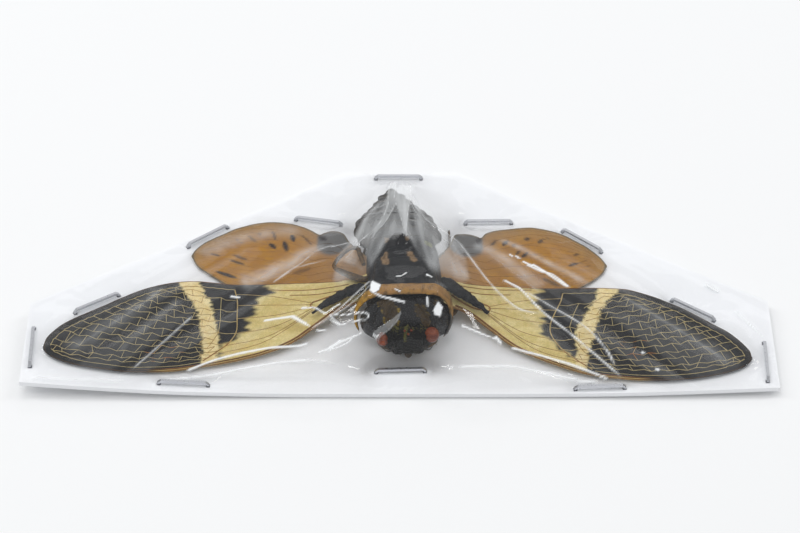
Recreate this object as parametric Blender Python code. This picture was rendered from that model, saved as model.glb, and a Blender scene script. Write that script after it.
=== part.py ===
"""A large cicada spread flat on a white card, under clear film that twelve staples hold down.

The card lies on the table with its cut corners at the back (+Y). The insect lies on it with its
head towards -Y and its wings out to both sides. Z = 0 is the underside of the middle of the card.
Every length is in millimetres until put_in_scene() turns it into metres.
"""

import math

import bmesh
import bpy
from mathutils import Matrix, Vector
from mathutils.bvhtree import BVHTree
from mathutils.geometry import delaunay_2d_cdt

MM = 0.001
GAP = 0.3  # between two pieces that touch
THIN_GAP = 0.15  # round the wire of a staple and under the film

# The card
CARD_HALF_WIDTH = 68.5
CARD_FRONT = -27.4
CARD_BACK = 27.4
CARD_BACK_HALF_WIDTH = 11.0
CARD_LEFT_SHOULDER = -7.9  # where the side ends and the slanting cut starts
CARD_RIGHT_SHOULDER = -6.3
CARD_THICKNESS = 1.0
CARD_COLUMN = 5.0
FRONT_STRAIGHT = 40.0  # past this the front edge bends back a little towards each corner
LEFT_CORNER_SETBACK = 0.9
RIGHT_CORNER_SETBACK = 0.7
SETBACK_POWER = 1.3

# The card's ends curl up off the table
FLAT_HALF_WIDTH = 18.0
LEFT_END_LIFT = 2.3
RIGHT_END_LIFT = 1.0
CURL_POWER = 1.4

# The staples: both ends of each crown, as seen from above
STAPLE_CROWN = 9.4
STAPLE_WIRE = 0.5
STAPLE_CLINCH = 2.7
STAPLE_BEND = 0.45  # how far before a corner the wire starts to turn
STAPLES = {
    "staple_front_left": ((-43.8, -25.7), (-34.4, -25.9)),
    "staple_front_middle": ((-4.7, -22.5), (4.9, -22.2)),
    "staple_front_right": ((31.4, -26.5), (40.8, -26.3)),
    "staple_side_left": ((-67.2, -13.7), (-66.9, -23.1)),
    "staple_side_right": ((66.7, -16.1), (66.4, -25.6)),
    "staple_cut_left_low": ((-60.2, -10.0), (-52.3, -5.1)),
    "staple_cut_left_mid": ((-40.4, 7.4), (-33.1, 12.8)),
    "staple_cut_left_high": ((-20.4, 15.2), (-11.0, 13.7)),
    "staple_back": ((-5.1, 26.1), (4.5, 26.1)),
    "staple_cut_right_high": ((12.3, 14.1), (21.7, 14.2)),
    "staple_cut_right_mid": ((31.1, 12.1), (38.4, 6.4)),
    "staple_cut_right_low": ((50.4, -5.7), (58.3, -11.0)),
}

# The insect's trunk, in its own frame: the axis is x = 0 and the head points to -Y
BODY_SIDES = 20
BODY_TURN = math.radians(3.0)
BODY_PIVOT_Y = -11.9
BODY_SHIFT_X = 1.1
BELLY = 3.0
WIDEST_LEVEL = 5.6  # height at which the flanks stand upright
SQUARENESS = 2.5

# Stations along the trunk: y, half width, underside, top
HEAD_STATIONS = (
    (-17.4, 4.9, 4.0, 9.0),
    (-18.4, 4.8, 3.3, 8.7),
    (-19.3, 4.1, 2.9, 8.1),
    (-19.9, 2.9, 2.9, 7.4),
    (-20.35, 1.6, 3.5, 6.5),
)
PRONOTUM_STATIONS = (
    (-17.1, 5.8, 3.8, 9.4),
    (-16.1, 6.5, 3.5, 10.2),
    (-15.0, 7.2, 3.3, 11.0),
    (-13.9, 7.8, 3.2, 11.5),
)
COLLAR_STATIONS = (
    (-13.6, 8.2, 3.5, 11.8),
    (-12.8, 8.9, 3.8, 12.1),
    (-12.2, 9.3, 4.1, 12.1),
    (-11.9, 9.1, 4.3, 11.9),
)
THORAX_STATIONS = (
    (-11.6, 6.9, BELLY, 11.6),
    (-10.2, 7.1, BELLY, 12.0),
    (-8.4, 7.2, BELLY, 12.2),
    (-6.4, 7.1, BELLY, 12.1),
    (-4.4, 7.0, BELLY, 11.6),
    (-2.4, 6.9, BELLY, 10.9),
    (-0.4, 6.8, BELLY, 10.2),
    (1.8, 6.7, BELLY, 9.7),
    (4.2, 6.7, BELLY, 9.4),
)
ABDOMEN_STATIONS = (
    (4.5, 6.8, 2.8, 9.3),
    (6.4, 7.8, 2.7, 9.1),
    (8.2, 8.2, 2.6, 8.8),
    (10.2, 7.8, 2.6, 8.3),
    (12.4, 6.6, 2.7, 7.4),
    (14.4, 5.2, 2.8, 6.6),
    (16.6, 3.7, 3.1, 5.7),
    (18.5, 2.2, 3.3, 5.0),
    (20.3, 0.7, 3.5, 4.4),
)
ABDOMEN_BEND = 0.0042  # the tail swings to the left by this times the square of its distance
ABDOMEN_BEND_START = 4.0
ABDOMEN_RINGS = 8
RING_STEP = 0.3  # each ring of the abdomen tucks this far under the one before it

CROSS_ARM_ENDS = ((-3.4, -1.4), (3.4, 3.5))  # the raised cross at the back of the thorax
CROSS_RADIUS = 0.6

EYE_RADIUS = 1.35
EYE_CENTRES = {"eye_left": (-4.7, -18.95, 6.7), "eye_right": (4.3, -18.8, 7.1)}

ANTENNA = ((2.95, -20.4, 5.6), (3.7, -20.4, 4.9), (4.8, -20.1, 4.2), (5.8, -19.4, 3.6))
ANTENNA_RADII = (0.28, 0.27, 0.25, 0.2)

ROSTRUM = ((0.0, -19.0, 2.0), (0.0, -16.0, 1.95), (0.0, -12.5, 1.8), (0.0, -9.0, 1.65))
ROSTRUM_RADII = (0.62, 0.6, 0.45, 0.3)

# Each leg as points from its root to its claw: x, y, z, radius, in the trunk's frame
LEGS = {
    "leg_front_left": (
        (-2.7, -14.6, 2.7, 0.8), (-2.9, -14.7, 2.1, 0.75), (-4.2, -14.9, 2.05, 0.7),
        (-5.0, -15.6, 2.1, 0.6), (-4.8, -16.5, 2.1, 0.5), (-3.9, -17.1, 2.0, 0.45),
        (-2.9, -17.5, 1.85, 0.4), (-2.1, -18.0, 1.75, 0.3), (-1.5, -18.5, 1.65, 0.22),
    ),
    "leg_front_right": (
        (2.7, -14.6, 2.7, 0.8), (2.9, -14.7, 2.1, 0.75), (4.2, -14.8, 2.05, 0.7),
        (5.1, -15.4, 2.1, 0.6), (5.0, -16.3, 2.1, 0.5), (4.1, -17.0, 2.0, 0.45),
        (3.0, -17.4, 1.85, 0.4), (2.2, -17.9, 1.75, 0.3), (1.6, -18.4, 1.65, 0.22),
    ),
    "leg_middle_left": (
        (-7.9, -6.0, 8.5, 0.5), (-8.7, -5.4, 8.3, 0.6), (-10.4, -3.9, 7.5, 0.6),
        (-12.2, -2.0, 6.4, 0.5), (-12.8, -0.7, 5.8, 0.42), (-12.5, 0.6, 5.5, 0.4),
        (-11.1, 2.3, 5.5, 0.36), (-9.6, 3.4, 6.1, 0.33), (-8.6, 3.0, 6.7, 0.32),
        (-8.2, 0.9, 7.2, 0.3), (-8.0, -1.8, 7.6, 0.25),
    ),
    "leg_middle_right": (
        (2.7, -9.2, 2.7, 0.75), (3.2, -9.2, 2.1, 0.7), (5.6, -9.8, 2.2, 0.7),
        (8.0, -10.4, 2.6, 0.6), (9.2, -9.9, 2.8, 0.5), (9.3, -8.7, 2.6, 0.45),
        (8.2, -7.6, 2.2, 0.4), (6.4, -7.1, 1.8, 0.32), (4.6, -6.9, 1.6, 0.25),
    ),
    "leg_hind_left": (
        (-2.7, -3.4, 2.7, 0.75), (-3.2, -3.5, 2.1, 0.7), (-5.2, -4.6, 2.1, 0.65),
        (-7.2, -5.8, 2.5, 0.55), (-8.3, -5.4, 2.6, 0.48), (-8.6, -4.2, 2.4, 0.42),
        (-8.0, 0.5, 2.0, 0.38), (-7.2, 5.2, 1.7, 0.32), (-6.6, 8.6, 1.6, 0.25),
    ),
    "leg_hind_right": (
        (2.7, -3.4, 2.7, 0.75), (3.2, -3.5, 2.1, 0.7), (5.4, -4.4, 2.1, 0.65),
        (7.6, -5.2, 2.5, 0.55), (8.8, -4.7, 2.6, 0.48), (9.2, -3.4, 2.4, 0.42),
        (9.3, 1.6, 2.0, 0.38), (9.4, 6.6, 1.7, 0.32), (9.5, 11.2, 1.6, 0.25),
    ),
}
LEG_SIDES = 8

# Wings: the points of each margin, from the root out to the tip, as seen from above
WING_THICKNESS = 0.5
WING_ROOT_SWELL = 0.35  # added to each face at the root
VEIN_HEIGHT = 0.22
VEIN_HALF_WIDTH = 0.32
FOREWING_BUILD = {
    "root": (-10.4, -4.8),  # where the wing starts and ends along the flank
    "veins": (0.09, 0.27, 0.45, 0.62, 0.79, 0.94),  # shares of the way from rear to front
    "cross_veins": (0.43, 0.56, 0.74),  # shares of the way from root to tip
    "columns": 24,
    "tip_level": 1.75,
    "root_rise": 3.3,
    "root_fall": 9.0,
    "rear_rise": 1.5,
    "rear_fall": 30.0,
    "start": 8.0,
}
HINDWING_BUILD = {
    "root": (-3.8, 2.6),
    "veins": (0.22, 0.42, 0.6, 0.78, 0.93),
    "cross_veins": (0.66,),
    "columns": 18,
    "tip_level": 1.6,
    "root_rise": 2.6,
    "root_fall": 7.0,
    "rear_rise": 0.0,
    "rear_fall": 30.0,
    "start": 7.0,
}
WINGS = {
    "forewing_left": {
        **FOREWING_BUILD,
        "side": -1,
        "front": ((-12.0, -10.8), (-16.0, -14.0), (-20.0, -17.1), (-25.0, -19.4), (-30.0, -21.0),
                  (-36.0, -22.4), (-41.0, -23.4), (-47.5, -23.9), (-54.0, -23.4), (-59.8, -22.3),
                  (-62.7, -21.2), (-64.4, -19.9)),
        "rear": ((-11.9, -4.5), (-19.9, -3.4), (-29.9, -3.1), (-38.2, -2.3), (-44.5, -3.2),
                 (-49.9, -5.6), (-55.3, -9.0), (-60.4, -12.3), (-63.7, -15.6), (-64.8, -18.4)),
    },
    "forewing_right": {
        **FOREWING_BUILD,
        "side": 1,
        "front": ((13.0, -11.3), (16.6, -14.3), (20.5, -17.7), (28.2, -21.7), (36.0, -24.3),
                  (41.5, -25.0), (48.3, -25.3), (54.6, -24.7), (59.7, -23.5), (62.6, -22.2),
                  (63.5, -21.4)),
        "rear": ((11.9, -4.8), (19.9, -4.2), (29.9, -3.9), (36.0, -3.6), (41.7, -3.9), (47.0, -5.7),
                 (52.1, -8.5), (57.3, -12.3), (61.5, -15.8), (63.7, -19.0), (63.9, -20.2)),
    },
    "hindwing_left": {
        **HINDWING_BUILD,
        "side": -1,
        "front": ((-10.5, -4.7), (-15.0, -5.8), (-22.0, -5.9), (-28.5, -4.3), (-35.0, -0.5),
                  (-38.0, 1.9), (-39.2, 4.2)),
        "rear": ((-9.4, 7.0), (-11.8, 10.4), (-13.2, 10.8), (-15.4, 10.1), (-18.7, 12.4),
                 (-23.7, 13.7), (-27.6, 13.4), (-31.8, 11.8), (-37.1, 8.2), (-39.3, 5.2)),
    },
    "hindwing_right": {
        **HINDWING_BUILD,
        "side": 1,
        "front": ((12.0, -5.1), (16.5, -6.2), (23.5, -6.3), (30.0, -4.9), (35.6, -1.7),
                  (38.3, 0.8), (38.8, 2.0)),
        "rear": ((9.9, 6.8), (11.7, 9.8), (13.4, 9.9), (15.5, 9.3), (18.0, 11.3), (22.7, 12.2),
                 (27.4, 12.0), (31.6, 10.3), (35.3, 7.4), (38.9, 3.0)),
    },
}

# The clear film
FILM_THICKNESS = 0.3
FILM_INSET = 0.3  # from the card's edge to the film's
FILM_CELL = 3.6
FILM_MARGIN_STEP = 3.2
FILM_HEAD_FOLD = (-17.4, 7.2, 3.5)  # the fold round the head: y of its ends, half width, reach
FILM_TIGHTENING = 60  # passes that pull the film straight between what it touches
FILM_CHECKS = 10
FILM_PROBES = 7  # places along each side of a triangle where its height over the insect is tested

COLOURS = {
    "card_white": ((0.86, 0.87, 0.88, 1.0), 0.8, 0.0),
    "staple_steel": ((0.55, 0.56, 0.58, 1.0), 0.35, 1.0),
    "film_clear": ((0.93, 0.95, 0.97, 0.22), 0.15, 0.0),
    "shell_black": ((0.025, 0.024, 0.026, 1.0), 0.25, 0.0),
    "collar_ochre": ((0.50, 0.27, 0.06, 1.0), 0.35, 0.0),
    "abdomen_grey": ((0.07, 0.065, 0.06, 1.0), 0.45, 0.0),
    "eye_red": ((0.22, 0.04, 0.02, 1.0), 0.2, 0.0),
    "leg_brown": ((0.07, 0.04, 0.02, 1.0), 0.4, 0.0),
    "forewing_dark": ((0.05, 0.045, 0.035, 1.0), 0.45, 0.0),
    "hindwing_orange": ((0.55, 0.27, 0.04, 1.0), 0.45, 0.0),
}


def clear_scene():
    for old in list(bpy.data.objects):
        bpy.data.objects.remove(old, do_unlink=True)


def make_materials():
    made = {}
    for name, (colour, roughness, metallic) in COLOURS.items():
        material = bpy.data.materials.new(name)
        material.use_nodes = True
        shader = material.node_tree.nodes["Principled BSDF"]
        shader.inputs["Base Color"].default_value = (*colour[:3], 1.0)
        shader.inputs["Roughness"].default_value = roughness
        shader.inputs["Metallic"].default_value = metallic
        shader.inputs["Alpha"].default_value = colour[3]
        made[name] = material
    return made


def curl(x):
    """How far the curled card lifts what lies on it at x."""
    past_flat = max(0.0, abs(x) - FLAT_HALF_WIDTH) / (CARD_HALF_WIDTH - FLAT_HALF_WIDTH)
    end_lift = LEFT_END_LIFT if x < 0 else RIGHT_END_LIFT
    return end_lift * past_flat**CURL_POWER


def in_body(point):
    """A point of the trunk's own frame, turned and shifted to where the insect lies."""
    turn = Matrix.Rotation(BODY_TURN, 3, "Z")
    pivot = Vector((0.0, BODY_PIVOT_Y, 0.0))
    return turn @ (Vector(point) - pivot) + pivot + Vector((BODY_SHIFT_X, 0.0, 0.0))


def smooth_curve(points, samples):
    """Points at even steps along a smooth curve that passes through all of these."""
    ends = [2 * points[0] - points[1], *points, 2 * points[-1] - points[-2]]
    dense = []
    steps = 12
    for i in range(1, len(ends) - 2):
        for k in range(steps):
            u = k / steps
            a, b, c, d = ends[i - 1:i + 3]
            dense.append(
                0.5 * (2 * b + (c - a) * u + (2 * a - 5 * b + 4 * c - d) * u**2
                       + (3 * b - a - 3 * c + d) * u**3)
            )
    dense.append(points[-1].copy())
    reach = [0.0]
    for before, after in zip(dense, dense[1:]):
        reach.append(reach[-1] + (after - before).length)
    found = []
    at = 0
    for share in samples:
        wanted = share * reach[-1]
        while at < len(dense) - 2 and reach[at + 1] < wanted:
            at += 1
        span = reach[at + 1] - reach[at]
        found.append(dense[at].lerp(dense[at + 1], (wanted - reach[at]) / span))
    return found


def loft(mesh, rings):
    """A closed body through rings with the same number of points, capped at both ends."""
    made = [[mesh.verts.new(point) for point in ring] for ring in rings]
    for one, two in zip(made, made[1:]):
        for i in range(len(one)):
            j = (i + 1) % len(one)
            mesh.faces.new((one[i], one[j], two[j], two[i]))
    mesh.faces.new(list(reversed(made[0])))
    mesh.faces.new(made[-1])
    bmesh.ops.recalc_face_normals(mesh, faces=mesh.faces)


def tube(mesh, points, radii, sides):
    """A tube along a bent path, with its cross-section square to the path at each point."""
    rings = []
    across = None
    for i, point in enumerate(points):
        ahead = (points[min(i + 1, len(points) - 1)] - points[max(i - 1, 0)]).normalized()
        if across is None:
            across = ahead.orthogonal().normalized()
        across = (across - ahead * across.dot(ahead)).normalized()
        other = ahead.cross(across)
        ring = []
        for k in range(sides):
            angle = 2 * math.pi * k / sides
            ring.append(point + radii[i] * (math.cos(angle) * across + math.sin(angle) * other))
        rings.append(ring)
    loft(mesh, rings)


def body_ring(y, half_width, underside, top):
    """A rounded cross-section of the trunk, flatter below than above."""
    widest = min(max(WIDEST_LEVEL, underside + 0.4), underside + 0.5 * (top - underside))
    ring = []
    for k in range(BODY_SIDES):
        angle = 2 * math.pi * k / BODY_SIDES
        across = math.copysign(abs(math.cos(angle)) ** (2 / SQUARENESS), math.cos(angle))
        up = math.copysign(abs(math.sin(angle)) ** (2 / SQUARENESS), math.sin(angle))
        reach = top - widest if up > 0 else widest - underside
        ring.append(in_body((half_width * across, y, widest + reach * up)))
    return ring


def trunk_piece(stations):
    mesh = bmesh.new()
    loft(mesh, [body_ring(*station) for station in stations])
    return mesh


def along_stations(stations, y):
    """The half width, underside and top of the trunk at y."""
    for (y0, *first), (y1, *second) in zip(stations, stations[1:]):
        if y <= y1:
            break
    share = min(max((y - y0) / (y1 - y0), 0.0), 1.0)
    return [a + (b - a) * share for a, b in zip(first, second)]


def bent_ring(station):
    """A cross-section of the abdomen, which swings to the left towards its tail."""
    swing = ABDOMEN_BEND * max(0.0, station[0] - ABDOMEN_BEND_START) ** 2
    return [point - Vector((swing, 0.0, 0.0)) for point in body_ring(*station)]


def ringed_abdomen():
    """The abdomen tapers in rings, and each one tucks under the ring before it."""
    start, end = ABDOMEN_STATIONS[0][0], ABDOMEN_STATIONS[-1][0]
    length = (end - start) / ABDOMEN_RINGS
    rings = []
    for i in range(ABDOMEN_RINGS):
        for share, tuck in ((0.0, RING_STEP), (0.3, 0.08), (0.94, 0.0)):
            y = start + (i + share) * length
            half_width, underside, top = along_stations(ABDOMEN_STATIONS, y)
            tuck = min(tuck, 0.3 * half_width)
            station = (y, half_width - tuck, underside + tuck / 3, top - tuck)
            rings.append(bent_ring(station))
    rings.append(bent_ring(ABDOMEN_STATIONS[-1]))
    mesh = bmesh.new()
    loft(mesh, rings)
    return mesh


def ball(centre, radius):
    mesh = bmesh.new()
    bmesh.ops.create_uvsphere(mesh, u_segments=14, v_segments=9, radius=radius)
    bmesh.ops.translate(mesh, verts=mesh.verts, vec=in_body(centre))
    return mesh


def cross_arm(mirrored):
    """One arm of the raised cross, laid along the top of the thorax."""
    (x0, y0), (x1, y1) = CROSS_ARM_ENDS
    points = []
    for k in range(5):
        x = x0 + (x1 - x0) * k / 4
        y = y0 + (y1 - y0) * k / 4
        half_width, _, top = along_stations(THORAX_STATIONS, y)
        rise = (1 - abs(x / half_width) ** SQUARENESS) ** (1 / SQUARENESS)
        z = WIDEST_LEVEL + (top - WIDEST_LEVEL) * rise
        points.append(in_body((-x if mirrored else x, y, z)))
    mesh = bmesh.new()
    tube(mesh, points, [CROSS_RADIUS * share for share in (0.5, 0.9, 1.0, 0.9, 0.5)], 6)
    return mesh


def limb(points):
    mesh = bmesh.new()
    path = [in_body(point[:3]) for point in points]
    tube(mesh, path, [point[3] for point in points], LEG_SIDES)
    return mesh


def mirrored_path(points, side):
    return [in_body((side * x, y, z)) for x, y, z in points]


def flank(y, side):
    """The point on the thorax's side at y where a wing is rooted, a gap away from it."""
    half_width = along_stations(THORAX_STATIONS, y)[0]
    return in_body((side * (half_width + GAP), y, 0.0)).to_2d()


def wing_rows(veins, chord):
    """Positions across the wing and their lift: each vein is a crest between two foot lines."""
    rows = [(0.0, 0.0)]
    for i, vein in enumerate(veins):
        below = vein - (veins[i - 1] if i else 0.0)
        above = (veins[i + 1] if i + 1 < len(veins) else 1.0) - vein
        foot = min(VEIN_HALF_WIDTH / chord, 0.36 * below, 0.36 * above)
        rows += [(vein - foot, 0.0), (vein, VEIN_HEIGHT), (vein + foot, 0.0)]
    rows.append((1.0, 0.0))
    return rows


def wing_columns(columns, cross_veins, length):
    """Positions along the wing, closer at its ends, with a crest at each cross vein."""
    feet = VEIN_HALF_WIDTH / length
    kept = []
    for i in range(columns + 1):
        u = i / columns
        share = 0.7 * u + 0.3 * (0.5 - 0.5 * math.cos(math.pi * u))
        if all(abs(share - cross) > 2.2 * feet for cross in cross_veins):
            kept.append((share, 0.0))
    for cross in cross_veins:
        kept += [(cross - feet, 0.0), (cross, VEIN_HEIGHT), (cross + feet, 0.0)]
    return sorted(kept)


def wing_level(wing, x, across):
    """The wing comes down from its root, and lies lower at its front margin than behind."""
    out = abs(x) - wing["start"]
    from_root = wing["root_rise"] * math.exp(-out / wing["root_fall"])
    from_rear = wing["rear_rise"] * (1 - across) * math.exp(-out / wing["rear_fall"])
    return wing["tip_level"] + from_root + from_rear


def wing_margins(wing, shares):
    """The front and rear margins, each from its corner of the root out to the tip."""
    margins = []
    for key, root_y in (("front", wing["root"][0]), ("rear", wing["root"][1])):
        points = [flank(root_y, wing["side"]), *(Vector(point) for point in wing[key])]
        margins.append(smooth_curve(points, shares))
    return margins


def wing_membrane(wing):
    """A thin closed blade whose upper face is raised into veins."""
    length = abs(wing["front"][-1][0])
    columns = wing_columns(wing["columns"], wing["cross_veins"], length)
    front, rear = wing_margins(wing, [share for share, _ in columns])
    mesh = bmesh.new()
    upper, lower = [], []
    for (share, cross_lift), ahead, behind in zip(columns, front, rear):
        chord = (ahead - behind).length
        swell = WING_ROOT_SWELL * math.exp(-share / 0.06)
        top_line, bottom_line = [], []
        for across, vein_lift in wing_rows(wing["veins"], chord):
            inside = 0.0 < across < 1.0
            place = behind.lerp(ahead, across)
            level = wing_level(wing, place.x, across)
            half = 0.5 * WING_THICKNESS + swell
            crest = max(vein_lift, cross_lift if inside else 0.0)
            top_line.append(mesh.verts.new((*place, level + half + crest)))
            bottom_line.append(mesh.verts.new((*place, level - half)))
        upper.append(top_line)
        lower.append(bottom_line)
    close_blade(mesh, upper, lower)
    return mesh


def close_blade(mesh, upper, lower):
    """Faces for two like grids of points and the strip between their rims, cut alike."""
    last_row, last_column = len(upper[0]) - 1, len(upper) - 1
    for grid, turned in ((upper, False), (lower, True)):
        for i in range(last_column):
            for j in range(last_row):
                a, b = grid[i][j], grid[i + 1][j]
                c, d = grid[i + 1][j + 1], grid[i][j + 1]
                for corners in ((a, b, c), (a, c, d)):
                    mesh.faces.new(reversed(corners) if turned else corners)
    rim = [(0, j) for j in range(last_row)]
    rim += [(i, last_row) for i in range(last_column)]
    rim += [(last_column, j) for j in range(last_row, 0, -1)]
    rim += [(i, 0) for i in range(last_column, 0, -1)]
    for (i, j), (k, m) in zip(rim, rim[1:] + rim[:1]):
        mesh.faces.new((upper[i][j], upper[k][m], lower[k][m], lower[i][j]))
    bmesh.ops.recalc_face_normals(mesh, faces=mesh.faces)


def card_front_edge(x):
    """How far forward the card reaches at x: straight in the middle, set back at its corners."""
    setback = LEFT_CORNER_SETBACK if x < 0 else RIGHT_CORNER_SETBACK
    past = max(0.0, abs(x) - FRONT_STRAIGHT) / (CARD_HALF_WIDTH - FRONT_STRAIGHT)
    return CARD_FRONT + setback * past**SETBACK_POWER


def card_back_edge(x, inset=0.0):
    """How far back the card reaches at x, between its slanting cuts."""
    shoulder = CARD_LEFT_SHOULDER if x < 0 else CARD_RIGHT_SHOULDER
    run = CARD_HALF_WIDTH - CARD_BACK_HALF_WIDTH
    slope = (CARD_BACK - shoulder) / run
    drop = max(0.0, abs(x) - CARD_BACK_HALF_WIDTH) * slope
    cut_inset = inset * math.hypot(1.0, slope)
    return min(CARD_BACK - inset, CARD_BACK - drop - cut_inset)


def card_columns():
    count = round((CARD_HALF_WIDTH - CARD_BACK_HALF_WIDTH) / CARD_COLUMN)
    step = (CARD_HALF_WIDTH - CARD_BACK_HALF_WIDTH) / count
    outer = [CARD_BACK_HALF_WIDTH + step * i for i in range(count + 1)]
    return [-x for x in reversed(outer)] + [-4.0, 4.0] + outer


def card_plate():
    """The card before its holes: one column of faces for each step along it."""
    mesh = bmesh.new()
    upper, lower = [], []
    for x in card_columns():
        line = [(x, card_front_edge(x)), (x, card_back_edge(x))]
        upper.append([mesh.verts.new((*place, CARD_THICKNESS)) for place in line])
        lower.append([mesh.verts.new((*place, 0.0)) for place in line])
    close_blade(mesh, upper, lower)
    return mesh


def staple_shape(ends, clear=0.0):
    """A staple driven through the card, its legs bent inwards under it, or the room it needs."""
    wire = STAPLE_WIRE + 2 * clear
    crown_level = CARD_THICKNESS + THIN_GAP + FILM_THICKNESS + THIN_GAP + STAPLE_WIRE / 2
    clinch_level = STAPLE_WIRE / 2 + 0.02
    first, last = (Vector((*end, 0.0)) for end in ends)
    middle = (first + last) / 2
    along = (last - first).normalized()
    across = Vector((-along.y, along.x, 0.0))
    half = (STAPLE_CROWN - STAPLE_WIRE) / 2
    clinch = half - STAPLE_CLINCH - clear
    profile = [
        (-clinch, clinch_level), (-half + STAPLE_BEND, clinch_level),
        (-half, clinch_level + STAPLE_BEND), (-half, crown_level - STAPLE_BEND),
        (-half + STAPLE_BEND, crown_level),
    ]
    profile += [(-x, z) for x, z in reversed(profile)]
    rings = []
    for i, (x, z) in enumerate(profile):
        x0, z0 = profile[max(i - 1, 0)]
        x1, z1 = profile[min(i + 1, len(profile) - 1)]
        ahead = (along * (x1 - x0) + Vector((0.0, 0.0, z1 - z0))).normalized()
        normal = ahead.cross(across)
        centre = middle + along * x + Vector((0.0, 0.0, z))
        corners = ((-1, -1), (1, -1), (1, 1), (-1, 1))
        rings.append([centre + (across * a + normal * b) * wire / 2 for a, b in corners])
    mesh = bmesh.new()
    loft(mesh, rings)
    return mesh


def staple_holes(ends):
    """The corners of the two square holes in the film for a staple's legs."""
    first, last = (Vector(end) for end in ends)
    along = (last - first).normalized()
    across = Vector((-along.y, along.x))
    half = STAPLE_WIRE / 2 + THIN_GAP
    corners = ((-1, -1), (1, -1), (1, 1), (-1, 1))
    holes = []
    for end in (-1, 1):
        centre = (first + last) / 2 + along * end * (STAPLE_CROWN - STAPLE_WIRE) / 2
        holes.append([centre + (along * a + across * b) * half for a, b in corners])
    return holes


def film_outline():
    """The film's own edge, as seen from above, a little inside the card's."""
    end = CARD_HALF_WIDTH - FILM_INSET
    count = round(2 * end / FILM_MARGIN_STEP)
    xs = [-end + 2 * end * i / count for i in range(count + 1)]
    outline = [Vector((x, card_front_edge(x) + FILM_INSET)) for x in xs]
    outline += [Vector((x, card_back_edge(x, FILM_INSET))) for x in reversed(xs)]
    return outline


def wing_outline(wing, clear):
    """A wing's outline seen from above, moved outwards by a little."""
    count = wing["columns"]
    shares = [0.04 + 0.96 * i / count for i in range(count + 1)]
    front, rear = wing_margins(wing, shares)
    ring = front + rear[::-1]
    moved = []
    for before, point, after in zip([ring[-1]] + ring[:-1], ring, ring[1:] + ring[:1]):
        along = (after - before).normalized()
        outward = Vector((along.y, -along.x)) * clear
        moved.append(point + (outward if wing["side"] < 0 else -outward))
    return moved


def head_fold():
    """Half an ellipse round the front of the head, seen from above."""
    y, half_width, reach = FILM_HEAD_FOLD
    angles = [math.pi * k / 13 for k in range(14)]
    return [in_body((half_width * math.cos(a), y - reach * math.sin(a), 0)).to_2d() for a in angles]


def inside(point, polygon):
    crossings = 0
    for a, b in zip(polygon, polygon[1:] + polygon[:1]):
        if (a.y > point.y) != (b.y > point.y):
            if point.x < a.x + (point.y - a.y) * (b.x - a.x) / (b.y - a.y):
                crossings += 1
    return crossings % 2 == 1


class Tops:
    """Answers how high the insect reaches over a place on the card."""

    def __init__(self, meshes):
        joined = bmesh.new()
        for mesh in meshes:
            copied = bpy.data.meshes.new("copied")
            mesh.to_mesh(copied)
            joined.from_mesh(copied)
            bpy.data.meshes.remove(copied)
        self.tree = BVHTree.FromBMesh(joined)
        joined.free()

    def at(self, x, y):
        hit = self.tree.ray_cast(Vector((x, y, 100.0)), Vector((0.0, 0.0, -1.0)))[0]
        return hit.z if hit else 0.0

    def near(self, x, y, reach):
        highest = self.at(x, y)
        for k in range(8):
            angle = 2 * math.pi * k / 8
            around = self.at(x + reach * math.cos(angle), y + reach * math.sin(angle))
            highest = max(highest, around)
        return highest


def film_plan():
    """Points, triangles and pinned points of the film seen from above."""
    outline = film_outline()
    points = list(outline)
    edges = [(i, (i + 1) % len(outline)) for i in range(len(outline))]
    holes = []

    def add_chain(chain):
        start = len(points)
        points.extend(chain)
        edges.extend((start + i, start + i + 1) for i in range(len(chain) - 1))

    def add_loop(loop):
        edges.append((len(points) + len(loop) - 1, len(points)))
        add_chain(loop)

    for ends in STAPLES.values():
        start = len(points)
        pair = staple_holes(ends)
        for hole in pair:
            add_loop(hole)
        holes.extend(pair)
        for near, far in ((start + 1, start + 4), (start + 2, start + 7)):
            between = [points[near].lerp(points[far], share) for share in (0.33, 0.67)]
            first = len(points)
            points.extend(between)
            edges.extend(((near, first), (first, first + 1), (first + 1, far)))
    held = list(points)
    add_chain(head_fold())
    firm = list(points)
    for wing in WINGS.values():
        add_loop(wing_outline(wing, 0.35))
    columns = int(2 * CARD_HALF_WIDTH / FILM_CELL)
    rows = int((CARD_BACK - CARD_FRONT) / FILM_CELL)
    for i in range(columns + 1):
        for j in range(rows + 1):
            shift = 0.25 * FILM_CELL * (1 if i % 2 else -1)
            place = Vector((
                -CARD_HALF_WIDTH + FILM_CELL * i,
                CARD_FRONT + FILM_CELL * j + shift,
            ))
            crowded = min((place - other).length for other in firm) < 0.45 * FILM_CELL
            if inside(place, outline) and not crowded:
                points.append(place)
    plan, _, triangles, *_ = delaunay_2d_cdt(points, edges, [], 0, 0.02, False)
    kept = []
    for triangle in triangles:
        middle = sum((plan[i] for i in triangle), Vector((0.0, 0.0))) / 3
        if inside(middle, outline) and not any(inside(middle, hole) for hole in holes):
            kept.append(tuple(triangle))
    pinned = {
        i for i, point in enumerate(plan) if min((point - other).length for other in held) < 0.05
    }
    return plan, kept, pinned


def slopes(plan, triangles, height):
    """How much longer than the film's thickness a plumb line through it is, at each point."""
    normals = [Vector((0.0, 0.0, 0.0)) for _ in plan]
    for triangle in triangles:
        a, b, c = (Vector((*plan[i], height[i])) for i in triangle)
        normal = (b - a).cross(c - a)
        for i in triangle:
            normals[i] += normal
    return [normal.length / max(normal.z, 1e-6) for normal in normals]


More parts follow.
